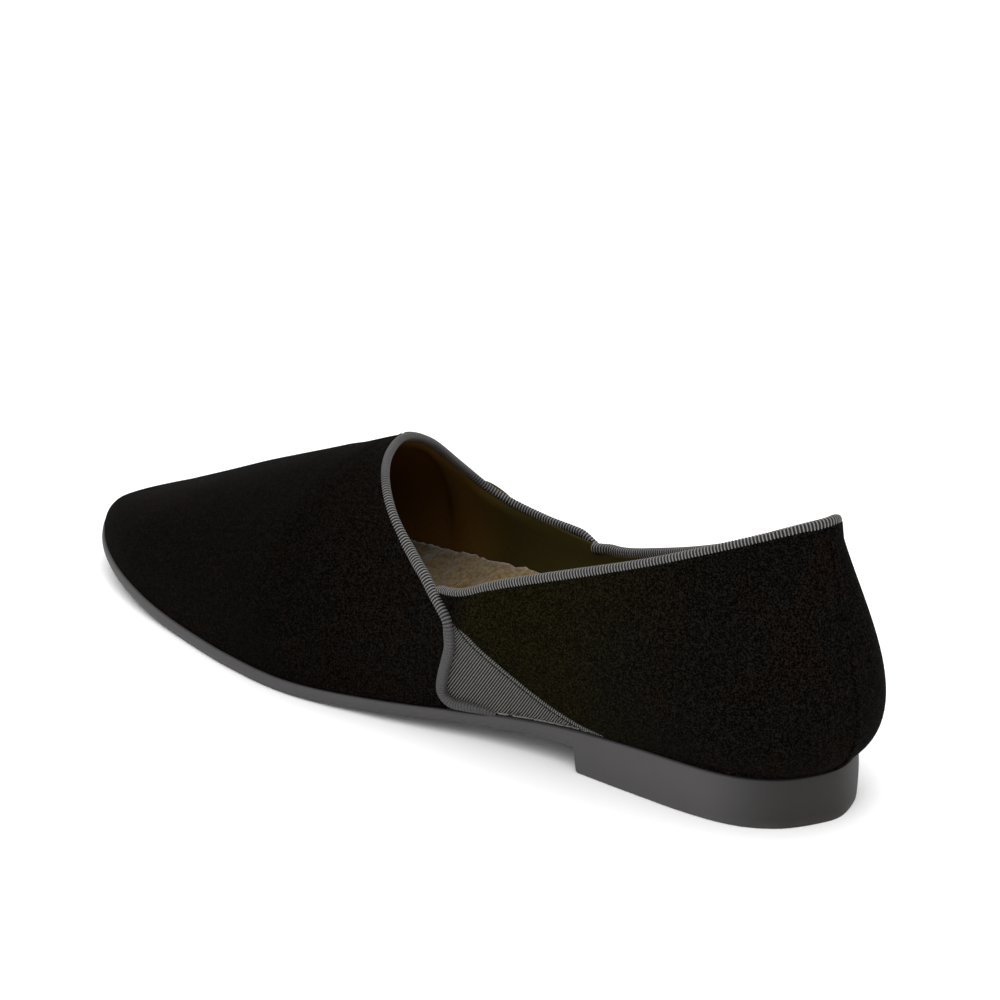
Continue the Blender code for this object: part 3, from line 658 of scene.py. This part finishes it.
def grid_faces(rows, wide, closed=False):
    """The faces of a grid of points, each row this wide, or of a tube closed at its ends."""
    faces = []
    for i in range(rows - 1):
        for k in range(wide if closed else wide - 1):
            n = (k + 1) % wide
            a, b = i * wide, (i + 1) * wide
            faces.append((a + k, a + n, b + n, b + k))
    if closed:
        start = (rows - 1) * wide
        faces += [tuple(range(wide))[::-1], tuple(range(start, start + wide))]
    return faces


def face_sheet():
    """The upper's whole outer face as one sheet."""
    index = np.arange(AROUND * (UP + 1)).reshape(AROUND, UP + 1)
    for k in range(AHEAD):
        index[BESIDE + 2 * AHEAD - k, UP] = index[BESIDE + k, UP]
    faces = []
    for i in range(AROUND):
        j = (i + 1) % AROUND
        for k in range(UP):
            corners = (index[i, k], index[j, k], index[j, k + 1], index[i, k + 1])
            corners = tuple(dict.fromkeys(int(c) for c in corners))
            if len(corners) > 2:
                faces.append(corners)
    sheet = Sheet(face_grid().reshape(-1, 3), faces)
    return sheet.facing(sheet.points - sheet.points.mean(0))


def edge_x(points, line):
    """The x of an edge at each point's height. Line gives a side's edge as (height, x) rows."""
    edge = np.zeros(len(points))
    for side in (1, -1):
        mine = points[:, 1] * side > 0
        edge[mine] = np.interp(points[mine, 2], *zip(*sorted(line(side))))
    return edge


def vamp_edge(side):
    """The vamp's rear edge, up its leg and on along the opening."""
    leg = [(z, along_x(d)) for d, z in leg_profile(side)]
    for k in range(12):
        spot = opening_point(side * (DIP_ROW + VAMP_START + 0.4 * k))[0]
        if spot.z > max(leg)[0] + 0.0005:
            leg.append((spot.z, spot.x))
    return leg


def quarter_edge(side):
    """The quarter's front edge, along the gore's rear edge and above the gore."""
    rear = [(z, x) for x, z in gore_rear(side)[:-1]]
    low_z, low_x = rear[0]
    rear.append((low_z - 0.004, low_x - 0.012))
    top_z = dip_height(side) - GORE_TOP_DROP
    rear = [(z, x) for z, x in rear if z < top_z - 0.003]
    return rear + [(top_z - 0.0005, along_x(DIP_AT + QUARTER_TUCK))]


def swept(name, path, ups, outs, half_up, half_out, pitch, depth, plain=None, around=TAPE_AROUND):
    """A ribbed tape along a path. Up and out give its section's two directions at each point."""
    path, ups, outs = (np.array([tuple(v) for v in rows]) for rows in (path, ups, outs))
    run = np.r_[0, np.cumsum(np.linalg.norm(np.diff(path, axis=0), axis=1))]
    count = max(8, int(run[-1] / pitch * TAPE_ALONG))
    at = np.linspace(0, run[-1], count)
    path, ups, outs = (np.stack([np.interp(at, run, rows[:, k]) for k in range(3)], 1)
                       for rows in (path, ups, outs))
    amount = np.ones(count) if plain is None else 1 - np.interp(at / run[-1], *plain)
    wave = np.abs(np.sin(math.pi * at / pitch)) ** RIB_ROUND
    sink = depth * amount * (1 - wave)
    points = []
    for k in range(count):
        for j in range(around):
            angle = 2 * math.pi * j / around
            c, s = math.cos(angle), math.sin(angle)
            c, s = (math.copysign(abs(v) ** TAPE_SQUARE, v) for v in (c, s))
            up, out = ups[k] * c * (half_up - sink[k]), outs[k] * s * (half_out - sink[k])
            points.append(path[k] + up + out)
    groove = np.repeat(amount * (1 - wave) + (1 - amount) * PLAIN_TAPE, around)
    return Sheet(points, grid_faces(count, around, True), groove).mesh(name, sharp=70)


def eased_path(points, blur=0.0010):
    """The path with even, close points and its kinks rounded off."""
    path = np.array([tuple(p) for p in points])
    run = np.r_[0, np.cumsum(np.linalg.norm(np.diff(path, axis=0), axis=1))]
    at = np.arange(0, run[-1], PATH_STEP)
    path = np.stack([np.interp(at, run, path[:, k]) for k in range(3)], 1)
    reach = int(3 * blur / PATH_STEP)
    weight = np.exp(-0.5 * (np.arange(-reach, reach + 1) * PATH_STEP / blur) ** 2)
    weight /= weight.sum()
    before, after = 2 * path[0] - path[reach:0:-1], 2 * path[-1] - path[-2:-reach - 2:-1]
    longer = np.concatenate([before, path, after])
    return np.stack([np.convolve(longer[:, k], weight, "valid") for k in range(3)], 1)


def section_directions(path, tree):
    """At each point of a path on the face: the direction across it, and the one out of the face."""
    ups, outs = [], []
    for k, point in enumerate(path):
        ahead, behind = path[min(k + 1, len(path) - 1)], path[max(k - 1, 0)]
        run = Vector(ahead - behind).normalized()
        normal = tree.find_nearest(Vector(point))[1]
        out = (normal - normal.dot(run) * run).normalized()
        outs.append(out)
        ups.append(out.cross(run))
    outs, ups = (np.array([tuple(v) for v in rows]) for rows in (outs, ups))
    kernel = np.ones(15) / 15
    eased = []
    for rows in (ups, outs):
        wide = run_on(rows, 7)
        rows = np.stack([np.convolve(wide[:, k], kernel, "valid") for k in range(3)], 1)
        eased.append(rows / np.linalg.norm(rows, axis=1)[:, None])
    return eased


def run_on(rows, count):
    """The rows with the first and the last repeated this many times."""
    return np.concatenate([np.repeat(rows[:1], count, 0), rows, np.repeat(rows[-1:], count, 0)])


def sunk_ends(line, ups, outs, length=0.0115, last_length=0.0035, drop=0.0013, sink=0.0011):
    """The tape's line with both ends pressed down behind the sole's rim."""
    run = np.arange(len(line)) * PATH_STEP
    near = np.minimum(run, run[-1] - run)
    share, last = (np.array([ease(1 - here / reach) for here in near])[:, None]
                   for reach in (length, last_length))
    line = line - (outs * sink + np.array([[0, 0, drop]])) * (share + last)
    return line, ups * (1 - 0.35 * share)


def tucked(line, ups, outs, cut=8, reach=0.0062, sink=0.0010):
    """The tape's line led straight on at both ends and down behind what lies across it."""
    line, ups, outs = (rows[cut:-cut] for rows in (line, ups, outs))
    made = []
    for end, step in ((0, -1), (-1, 1)):
        away = line[end] - line[end - step * 14]
        away = away / np.linalg.norm(away)
        shares = np.linspace(0.1, 1, 10)[::step]
        fall = [ease(share * 1.1) * sink for share in shares]
        made.append(np.array([line[end] + away * reach * share - outs[end] * drop
                              for share, drop in zip(shares, fall)]))
    return np.concatenate([made[0], line, made[1]]), run_on(ups, 10), run_on(outs, 10)


def on_face(tree, side, x, z, depth):
    """The point of one side of the face at this x and height, sunk by the depth."""
    spot, normal = tree.ray_cast(Vector((x, side * 0.12, z)), Vector((0, -side, 0)))[:2]
    if spot is None or spot.y * side < 0.004:
        return None
    if normal.y * side < 0:
        normal = -normal
    return spot - normal * depth


def gore_frame(side):
    """The corner behind the gore's foot, and the directions along its rear edge and across it."""
    rear = gore_rear(side)
    top, foot = Vector(rear[-1]), Vector(rear[0])
    along = (top - foot).normalized()
    slant = math.atan2(-along.x, along.y) + GORE_SLANT
    return foot, along, Vector((math.cos(slant), math.sin(slant))), (top - foot).length


def gore_depth(side, z):
    """How far the elastic lies under the velvet's face at this height."""
    corner = dip_height(side) - GORE_TOP_DROP
    return GORE_REST + GORE_SINK * ease((z - corner + 0.002) / 0.004)


def gore_panel(name, side, tree):
    """The elastic: ribs square to its rear edge, from under the quarter to under the vamp."""
    foot, along, across, length = gore_frame(side)
    whole = length + 2 * GORE_HIDDEN
    steps, cells = int(whole / ELASTIC_PITCH * 5), 26
    points, faces, groove = [], [], []
    index = {}
    for i in range(steps + 1):
        a = -GORE_HIDDEN + whole * i / steps
        wave = abs(math.sin(math.pi * a / ELASTIC_PITCH)) ** ELASTIC_ROUND
        share = max(0, min(1, a / length))
        start = -GORE_UNDER - GORE_BELLY * 4 * share * (1 - share)
        for k in range(cells + 1):
            x, z = foot + along * a + across * (start + (GORE_REACH - start) * k / cells)
            z = max(z, sole_face(x))
            spot = on_face(tree, side, x, z, gore_depth(side, z) + ELASTIC_DEPTH * (1 - wave))
            if spot is not None:
                index[i, k] = len(points)
                points.append(tuple(spot))
                groove.append(1 - wave)
    for i in range(steps):
        for k in range(cells):
            corners = [(i, k), (i + 1, k), (i + 1, k + 1), (i, k + 1)]
            if all(c in index for c in corners):
                faces.append(tuple(index[c] for c in corners))
    sheet = Sheet(points, faces, groove).facing(np.array([0, side, 0]))
    sheet = sheet.trimmed(GORE_TUCK + edge_x(sheet.points, vamp_edge) - sheet.points[:, 0])
    low = np.array([sole_face(x) + CLEARANCE * 0.01 for x in sheet.points[:, 0]])
    return sheet.trimmed(sheet.points[:, 2] - low).mesh(name, ELASTIC_THICKNESS)


def gore_line(side, tree, inset, raised):
    """A line on the gore that keeps this far in from its rear edge."""
    rear = gore_rear(side)
    line = []
    for k in range(81):
        t = k / 10
        here, there, back = (Vector(smooth(rear, at)) for at in (t, min(8, t + 0.05), max(0, t - 0.05)))
        run = (there - back).normalized()
        place = here + Vector((run.y, -run.x)) * inset
        spot = on_face(tree, side, place.x, place.y, gore_depth(side, place.y) - raised)
        if spot is not None:
            line.append(spot)
    return line


def heaped(points, size, seed):
    """Soft noise at each point, from 0 to 1."""
    shift = Vector((seed, seed * 1.7, -seed))
    return np.array([0.5 + 0.5 * noise.noise(Vector(p) / size + shift) for p in points])


def fleece_bed(name):
    """The footbed with its curly pile."""
    inset = FEATHER_INSET + WALL + FOOTBED_GAP
    first, last = inset, SOLE_LENGTH - FOOTBED_END
    points = []
    for i in range(FLEECE_ROWS + 1):
        turn = math.pi * (i + 0.3) / (FLEECE_ROWS + 0.6)
        distance = first + (last - first) * (1 - math.cos(turn)) / 2
        low = sole_top(distance) + CLEARANCE + WALL + CLEARANCE
        outer, inner = side_y(distance, 1) - inset, side_y(distance, -1) + inset
        ends = min(distance - first, last - distance)
        shrink = min((outer - inner) * 0.42, inset * max(0.0, 1 - ends / (6 * inset)))
        outer, inner = outer - shrink, inner + shrink
        thick = mix(FOOTBED_THICKNESS, FOOTBED_TOE, (distance - first) / (last - first))
        tall = thick * mix(0.55, 1.0, ease(ends / 0.03))
        rim = FOOTBED_RIM * ease((distance - first) / 0.03) * ease((last - distance) / 0.13)
        for k in range(FLEECE_ACROSS + 1):
            share = k / FLEECE_ACROSS
            lift = rim * 1.95 * abs(2 * share - 1) ** 2.0
            edge = 0.10 * max(0, 1 - min(share, 1 - share) / 0.04) ** 2
            y = mix(outer, inner, share) + 0.20 * lift * (1 - 2 * share)
            points.append((along_x(distance), y, low + tall * (1 - edge) + lift))
    base = np.array(points)
    curls, fine, tufts = heaped(base, 0.0026, 3.1), heaped(base, 0.0011, 7.7), heaped(base, 0.0060, 1.3)
    base[:, 2] += ((tufts - 0.6) * 0.0016 + (np.abs(curls - 0.5) * 2 - 0.35) * 0.0009
                   + (fine - 0.5) * 0.0007)
    base[:, 0] += (heaped(base, 0.0018, 5.5) - 0.5) * 0.0006
    faces = [(a, d, c, b) for a, b, c, d in grid_faces(FLEECE_ROWS + 1, FLEECE_ACROSS + 1)]
    return Sheet(base, faces).facing(np.array([0, 0, 1])).mesh(name, FLEECE_BACKING)


def sole_ring(distance, under):
    """One section of the moulded sole, with its edges rounded."""
    x, top = along_x(distance), sole_top(distance)
    outer, inner = side_y(distance, 1), side_y(distance, -1)
    narrow = min(1.0, (outer - inner) / 0.012)
    high, low = RIM_ROUND * narrow, TREAD_ROUND * narrow
    turns = [(math.cos(math.radians(angle)), math.sin(math.radians(angle))) for angle in (0, 30, 60, 90)]
    ring = []
    for sign, edge in ((1, outer), (-1, inner)):
        side = [(edge - sign * high * (1 - c), top - high * (1 - s)) for c, s in turns[::-1]]
        for k in range(1, 8):
            share = k / 8
            swell = SIDE_SWELL * math.sin(math.pi * share) - SIDE_DRAFT * share
            side.append((edge + sign * swell * narrow, mix(top - high, under + low, share)))
        side += [(edge - sign * (SIDE_DRAFT * narrow + low * (1 - c)), under + low * (1 - s))
                 for c, s in turns]
        ring.append([(x, y, z) for y, z in side])
    return ring[0] + ring[1][::-1]


def sole_unit(name):
    """The moulded sole and heel in one piece."""
    turns = [math.pi * (k + 0.35) / (SOLE_SECTIONS - 0.3) for k in range(SOLE_SECTIONS)]
    ends = [SOLE_LENGTH * (1 - math.cos(turn)) / 2 for turn in turns]
    sections = [(distance, 0.0) for distance in ends if distance < HEEL_LENGTH - 0.0006]
    sections += [(HEEL_LENGTH + ahead, under) for ahead, under in (
        (-0.0005, 0.0), (-0.00015, 0.00015), (0.0, 0.0005),
        (0.0001, BREAST_HEIGHT - 0.0006), (0.0006, BREAST_HEIGHT))]
    waist = [distance for distance in ends if distance > HEEL_LENGTH + 0.001]
    sections += [(distance, waist_under(distance)) for distance in waist]
    rings = [sole_ring(*section) for section in sections]
    points = [p for ring in rings for p in ring]
    return Sheet(points, grid_faces(len(rings), len(rings[0]), True)).mesh(name, sharp=50)


class Wire:
    """A shader socket that can be used in an expression."""

    def __init__(self, paint, socket):
        self.paint, self.socket = paint, socket

    def maths(self, operation, other):
        return self.paint.node("ShaderNodeMath", {"operation": operation}, {0: self, 1: other})

    def __add__(self, other):
        return self.maths("ADD", other)

    def __radd__(self, other):
        return self.maths("ADD", other)

    def __mul__(self, other):
        return self.maths("MULTIPLY", other)


class Paint:
    """A material being made."""

    def __init__(self, name):
        self.material = bpy.data.materials.new(name)
        self.material.use_nodes = True
        self.tree = self.material.node_tree
        self.shader = self.tree.nodes["Principled BSDF"]

    def node(self, kind, settings=None, values=None, output=0):
        made = self.tree.nodes.new(kind)
        for name, value in (settings or {}).items():
            setattr(made, name, value)
        for name, value in (values or {}).items():
            self.set(made.inputs[name], value)
        return Wire(self, made.outputs[output])

    def set(self, socket, value):
        if isinstance(value, Wire):
            self.tree.links.new(value.socket, socket)
        elif isinstance(value, tuple) and len(value) == 3 and socket.type == "RGBA":
            socket.default_value = (*value, 1)
        else:
            socket.default_value = value

    def place(self):
        return self.node("ShaderNodeTexCoord", output="Object")

    def grain(self, size, detail=2.0, rough=0.5):
        """Soft noise of about this size in metres, from 0 to 1."""
        values = {"Vector": self.place(), "Scale": 1 / size, "Detail": detail, "Roughness": rough}
        return self.node("ShaderNodeTexNoise", None, values)

    def blend(self, factor, first, second):
        """A colour between two, by the factor."""
        values = {0: factor, 6: first, 7: second}
        return self.node("ShaderNodeMix", {"data_type": "RGBA"}, values, output=2)

    def step(self, value, low, high):
        """0 below low, 1 above high, smooth between."""
        return self.node("ShaderNodeMapRange", {"interpolation_type": "SMOOTHSTEP"},
                         {"Value": value, "From Min": low, "From Max": high})

    def parts(self, vector):
        made = self.tree.nodes.new("ShaderNodeSeparateXYZ")
        self.set(made.inputs[0], vector)
        return [Wire(self, made.outputs[k]) for k in range(3)]

    def bump(self, height, distance, strength):
        return self.node("ShaderNodeBump", None,
                         {"Height": height, "Distance": distance, "Strength": strength})

    def finish(self, **sockets):
        for name, value in sockets.items():
            self.set(self.shader.inputs[name.replace("_", " ")], value)
        return self.material


def velvet():
    paint = Paint("black_velvet")
    pile = paint.grain(0.00046, 2.0, 0.75)
    tuft = paint.grain(0.0011, 2.0, 0.6)
    brushed = paint.grain(0.022, 3.0, 0.6)
    light = paint.step(pile * 0.8 + tuft * 0.2, 0.45, 0.61)
    x, y, z = paint.parts(paint.place())
    warm = paint.blend(light, (0.0008, 0.0005, 0.0003), (0.0098, 0.0068, 0.0050))
    cool = paint.blend(light, (0.0008, 0.0007, 0.0006), (0.0070, 0.0065, 0.0060))
    olive = paint.blend(light, (0.0022, 0.0019, 0.0003), (0.0125, 0.0108, 0.0032))
    colour = paint.blend(paint.step(brushed, 0.36, 0.64), warm, cool)
    beside_gore = paint.step(x, -0.015, 0.045) * paint.step(x, 0.066, 0.060)
    colour = paint.blend(beside_gore * 0.8, colour, olive)
    # Painted shade: the vamp, which faces up to the lamps, is painted darker from its rear edge towards
    # the toe.
    colour = paint.blend(paint.step(x, 0.066, 0.130) * 0.35, colour, (0.0, 0.0, 0.0))
    height = pile * 0.6 + tuft * 0.4
    return paint.finish(
        Base_Color=colour, Roughness=0.95, Normal=paint.bump(height, 0.0005, 0.8),
        Sheen_Weight=0.004, Sheen_Roughness=0.40, Sheen_Tint=(0.75, 0.60, 0.55, 1),
        Specular_IOR_Level=0.012)


def grooved(paint, crest, middle, groove):
    """Fine threads, light on the ribs, with painted shade darkening the grooves between them."""
    thread = paint.grain(0.00025, 2.0, 0.6)
    depth = paint.node("ShaderNodeAttribute", {"attribute_name": "groove"}, output="Fac")
    colour = paint.blend(paint.step(depth, 0.0, PLAIN_TAPE), crest, middle)
    colour = paint.blend(paint.step(depth, PLAIN_TAPE, 0.42), colour, groove)
    return thread, paint.blend(paint.step(thread, 0.30, 0.70) * 0.5, colour, groove)


def tape():
    paint = Paint("grosgrain_tape")
    # The last colour is painted shade for the grooves between the ribs.
    thread, colour = grooved(
        paint, (0.240, 0.233, 0.226), (0.064, 0.061, 0.061), (0.0030, 0.0028, 0.0028))
    return paint.finish(Base_Color=colour, Roughness=0.62, Normal=paint.bump(thread, 0.00008, 0.6),
                        Sheen_Weight=0.06, Sheen_Roughness=0.4, Specular_IOR_Level=0.25)


def elastic():
    paint = Paint("ribbed_elastic")
    # The last colour is painted shade for the grooves between the ribs.
    thread, colour = grooved(
        paint, (0.235, 0.232, 0.213), (0.044, 0.043, 0.039), (0.0040, 0.0038, 0.0034))
    return paint.finish(Base_Color=colour, Roughness=0.68, Normal=paint.bump(thread, 0.00008, 0.7),
                        Sheen_Weight=0.04, Specular_IOR_Level=0.22)


def stitches():
    return Paint("dark_thread").finish(
        Base_Color=(0.0045, 0.0042, 0.0042, 1), Roughness=0.8, Specular_IOR_Level=0.1)


def rubber():
    paint = Paint("moulded_rubber")
    fine = paint.grain(0.00035, 3.0, 0.6)
    broad = paint.grain(0.018, 3.0, 0.55)
    colour = paint.blend(broad, (0.045, 0.043, 0.044), (0.058, 0.055, 0.056))
    x, y, z = paint.parts(paint.place())
    # Painted shade: the back of the heel, turned away from the lamps, is painted much darker.
    colour = paint.blend(paint.step(x, -0.008, -0.030) * 0.92, colour, (0.012, 0.011, 0.010))
    dust = paint.step(z, 0.0030, 0.0002) * paint.grain(0.004, 3.0) * 0.35
    colour = paint.blend(dust, colour, (0.080, 0.076, 0.072))
    return paint.finish(Base_Color=colour, Roughness=0.52 + fine * 0.16,
                        Normal=paint.bump(fine, 0.00005, 0.35), Specular_IOR_Level=0.25)


def fleece():
    paint = Paint("cream_fleece")
    curl = paint.grain(0.0012, 3.0, 0.6)
    tuft = paint.grain(0.005, 2.0, 0.5)
    colour = paint.blend(paint.step(curl, 0.3, 0.7), (0.064, 0.041, 0.012), (0.200, 0.134, 0.052))
    colour = paint.blend(tuft * 0.4, colour, (0.112, 0.075, 0.028))
    return paint.finish(Base_Color=colour, Roughness=0.95, Normal=paint.bump(curl, 0.0005, 0.7),
                        Sheen_Weight=0.3, Sheen_Roughness=0.5, Specular_IOR_Level=0.1)


def lining():
    paint = Paint("olive_lining")
    weave = paint.grain(0.0006, 3.0, 0.6)
    x, y, z = paint.parts(paint.place())
    # The brown at the front is the lining's own tone, painted about three times lighter as painted light
    # where the throat lies in shade.
    brown_with_painted_light = paint.blend(weave, (0.092, 0.041, 0.0058), (0.158, 0.074, 0.0130))
    olive = paint.blend(weave, (0.020, 0.0145, 0.0018), (0.033, 0.025, 0.0048))
    colour = paint.blend(paint.step(x, 0.130, 0.102), brown_with_painted_light, olive)
    return paint.finish(Base_Color=colour, Roughness=0.9, Normal=paint.bump(weave, 0.0001, 0.4),
                        Specular_IOR_Level=0.08)


def dress(obj, material, node):
    """Gives a piece its material, and its place in the part."""
    obj.data.materials.append(material)
    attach(obj, "root")
    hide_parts(node)
    return obj


def camera():
    """The photograph's view: from behind the outer side, a little above."""
    swing, drop, roll = (math.radians(angle) for angle in (44.13, 21.94, -0.588))
    distance, focal, shift = 1.3005, 4.9479, (0.05291, 0.06885)
    view = Vector((math.cos(drop) * math.sin(swing), -math.cos(drop) * math.cos(swing), -math.sin(drop)))
    target = Vector((along_x(SOLE_LENGTH / 2), 0, 0.030))
    right = view.cross(Vector((0, 0, 1))).normalized()
    up = right.cross(view)
    c, s = math.cos(roll), math.sin(roll)
    right, up = c * right + s * up, c * up - s * right
    data = bpy.data.cameras.new("camera")
    data.sensor_width = 36
    data.lens = 36 * focal
    data.shift_x, data.shift_y = shift
    data.clip_start, data.clip_end = 0.05, 20
    cam = bpy.data.objects.new("camera", data)
    cam.matrix_world = Matrix((right, up, -view)).transposed().to_4x4()
    cam.location = target - view * distance
    bpy.context.scene.collection.objects.link(cam)
    bpy.context.scene.camera = cam


def lamp(name, place, aim, size, power):
    data = bpy.data.lights.new(name, "AREA")
    data.size = size
    data.energy = power
    obj = bpy.data.objects.new(name, data)
    obj.location = place
    obj.rotation_mode = "QUATERNION"
    obj.rotation_quaternion = (Vector(aim) - Vector(place)).to_track_quat("-Z", "Y")
    bpy.context.scene.collection.objects.link(obj)


def studio():
    """A white floor under a soft white room."""
    world = bpy.data.worlds.new("studio")
    world.use_nodes = True
    world.node_tree.nodes["Background"].inputs["Color"].default_value = (1, 1, 1, 1)
    world.node_tree.nodes["Background"].inputs["Strength"].default_value = 1.0
    bpy.context.scene.world = world
    bpy.context.scene.view_settings.view_transform = "Standard"
    floor = Sheet([(-6, -6, 0), (6, -6, 0), (6, 6, 0), (-6, 6, 0)], [(0, 1, 2, 3)]).mesh("floor")
    paint = Paint("floor_white")
    floor.data.materials.append(paint.finish(Base_Color=(0.99, 0.99, 0.99, 1), Roughness=0.9))
    lamp("key", (-0.6, 0.9, 1.6), (0.1, 0, 0), 1.4, 18)
    lamp("top", (0.5, -0.4, 1.8), (0.1, 0, 0), 1.6, 12)


def main():
    looks = {"velvet": velvet(), "tape": tape(), "elastic": elastic(), "thread": stitches(),
             "rubber": rubber(), "fleece": fleece(), "lining": lining()}
    face = face_sheet()
    back = [Vector(p) for p in face.points[:UP + 1]]
    tree = BVHTree.FromPolygons([Vector(p) for p in face.points], face.faces)

    face = with_edge(face)
    x = face.points[:, 0]
    tuck = edge_x(face.points, vamp_edge) - x
    under = np.clip((TUCK_START - tuck) / TUCK_LENGTH, 0, 1)
    vamp = face.trimmed(-tuck)
    quarter = face.moved(-QUARTER_SINK * under * under * (3 - 2 * under))
    quarter = quarter.trimmed(edge_x(face.points, quarter_edge) - x)
    inside = face.moved(-LINING_DEPTH)
    dress(vamp.mesh("vamp", VELVET_THICKNESS), looks["velvet"], "upper")
    dress(quarter.mesh("quarter", VELVET_THICKNESS * 0.9), looks["velvet"], "upper")
    dress(inside.mesh("lining", LINING_THICKNESS), looks["lining"], "upper")

    ribbed = (BINDING * 0.5, BINDING * 0.46, RIB_PITCH, RIB_DEPTH)
    vamp_points = vamp_path(tree)
    line = eased_path(vamp_points)
    ups, outs = section_directions(line, tree)
    line, ups = sunk_ends(line, ups, outs)
    slim = np.interp(np.linspace(0, 1, len(line)), *zip(*SLIM_PLACES))[:, None]
    vamp_tape = swept("vamp_tape", line, ups * slim, outs * slim, *ribbed, zip(*PLAIN_PLACES))
    dress(vamp_tape, looks["tape"], "vamp_binding")
    line = eased_path(top_line_path(vamp_points))
    top_tape = swept("top_line_tape", *tucked(line, *section_directions(line, tree)), *ribbed)
    dress(top_tape, looks["tape"], "top_line_binding")

    for side, word in ((1, "outer"), (-1, "inner")):
        panel = gore_panel(word + "_elastic", side, tree)
        dress(panel, looks["elastic"], word + "_gore")
        for row in GORE_LINES:
            line = eased_path(gore_line(side, tree, row.inset, row.raised), blur=0.0006)
            made = swept(f"{word}_{row.name}", line, *section_directions(line, tree), row.width,
                         row.height, row.pitch, row.depth, around=row.around)
            dress(made, looks[row.look], word + "_gore")

    line = eased_path(back)
    ridge = swept("back_seam", line, *section_directions(line, tree), SEAM_WIDTH, SEAM_HEIGHT,
                  0.01, 0.0, around=12)
    dress(ridge, looks["velvet"], "upper")

    dress(sole_unit("sole_unit"), looks["rubber"], "outsole")
    bed = dress(fleece_bed("fleece_footbed"), looks["fleece"], "footbed")
    studio()
    camera()


def with_edge(face):
    """The face carried on up into the tape along the opening."""
    ring = [u % AROUND for u in range(BESIDE + 2 * AHEAD + 1, AROUND + BESIDE)]
    tops = [u * (UP + 1) + UP for u in [BESIDE] + ring + [BESIDE]]
    points = [tuple(p) for p in face.points]
    first = len(points)
    crest = [crest_point(place)[0] for place in (0.02, 0.06)]
    for k, top in enumerate(tops[:-1]):
        here, below = Vector(points[top]), Vector(points[top - 1])
        along = Vector(points[tops[k + 1]]) - Vector(points[tops[k - 1 if k else -2]])
        away = here - below if k else crest[0] - crest[1]
        away = (away - away.project(along)).normalized()
        points += [tuple(here + away * reach) for reach in (0.0005, 0.0011)]
    steps = len(tops) - 1
    outward = face.normals()[tops[steps // 2]]
    added = []
    for k in range(steps):
        n = (k + 1) % steps
        a, b = first + 2 * k, first + 2 * n
        added += [(tops[k], tops[k + 1], b, a), (a, b, b + 1, a + 1)]
    if Sheet(points, added).normals()[tops[steps // 2]].dot(outward) < 0:
        added = [f[::-1] for f in added]
    return Sheet(points, face.faces + added)


main()
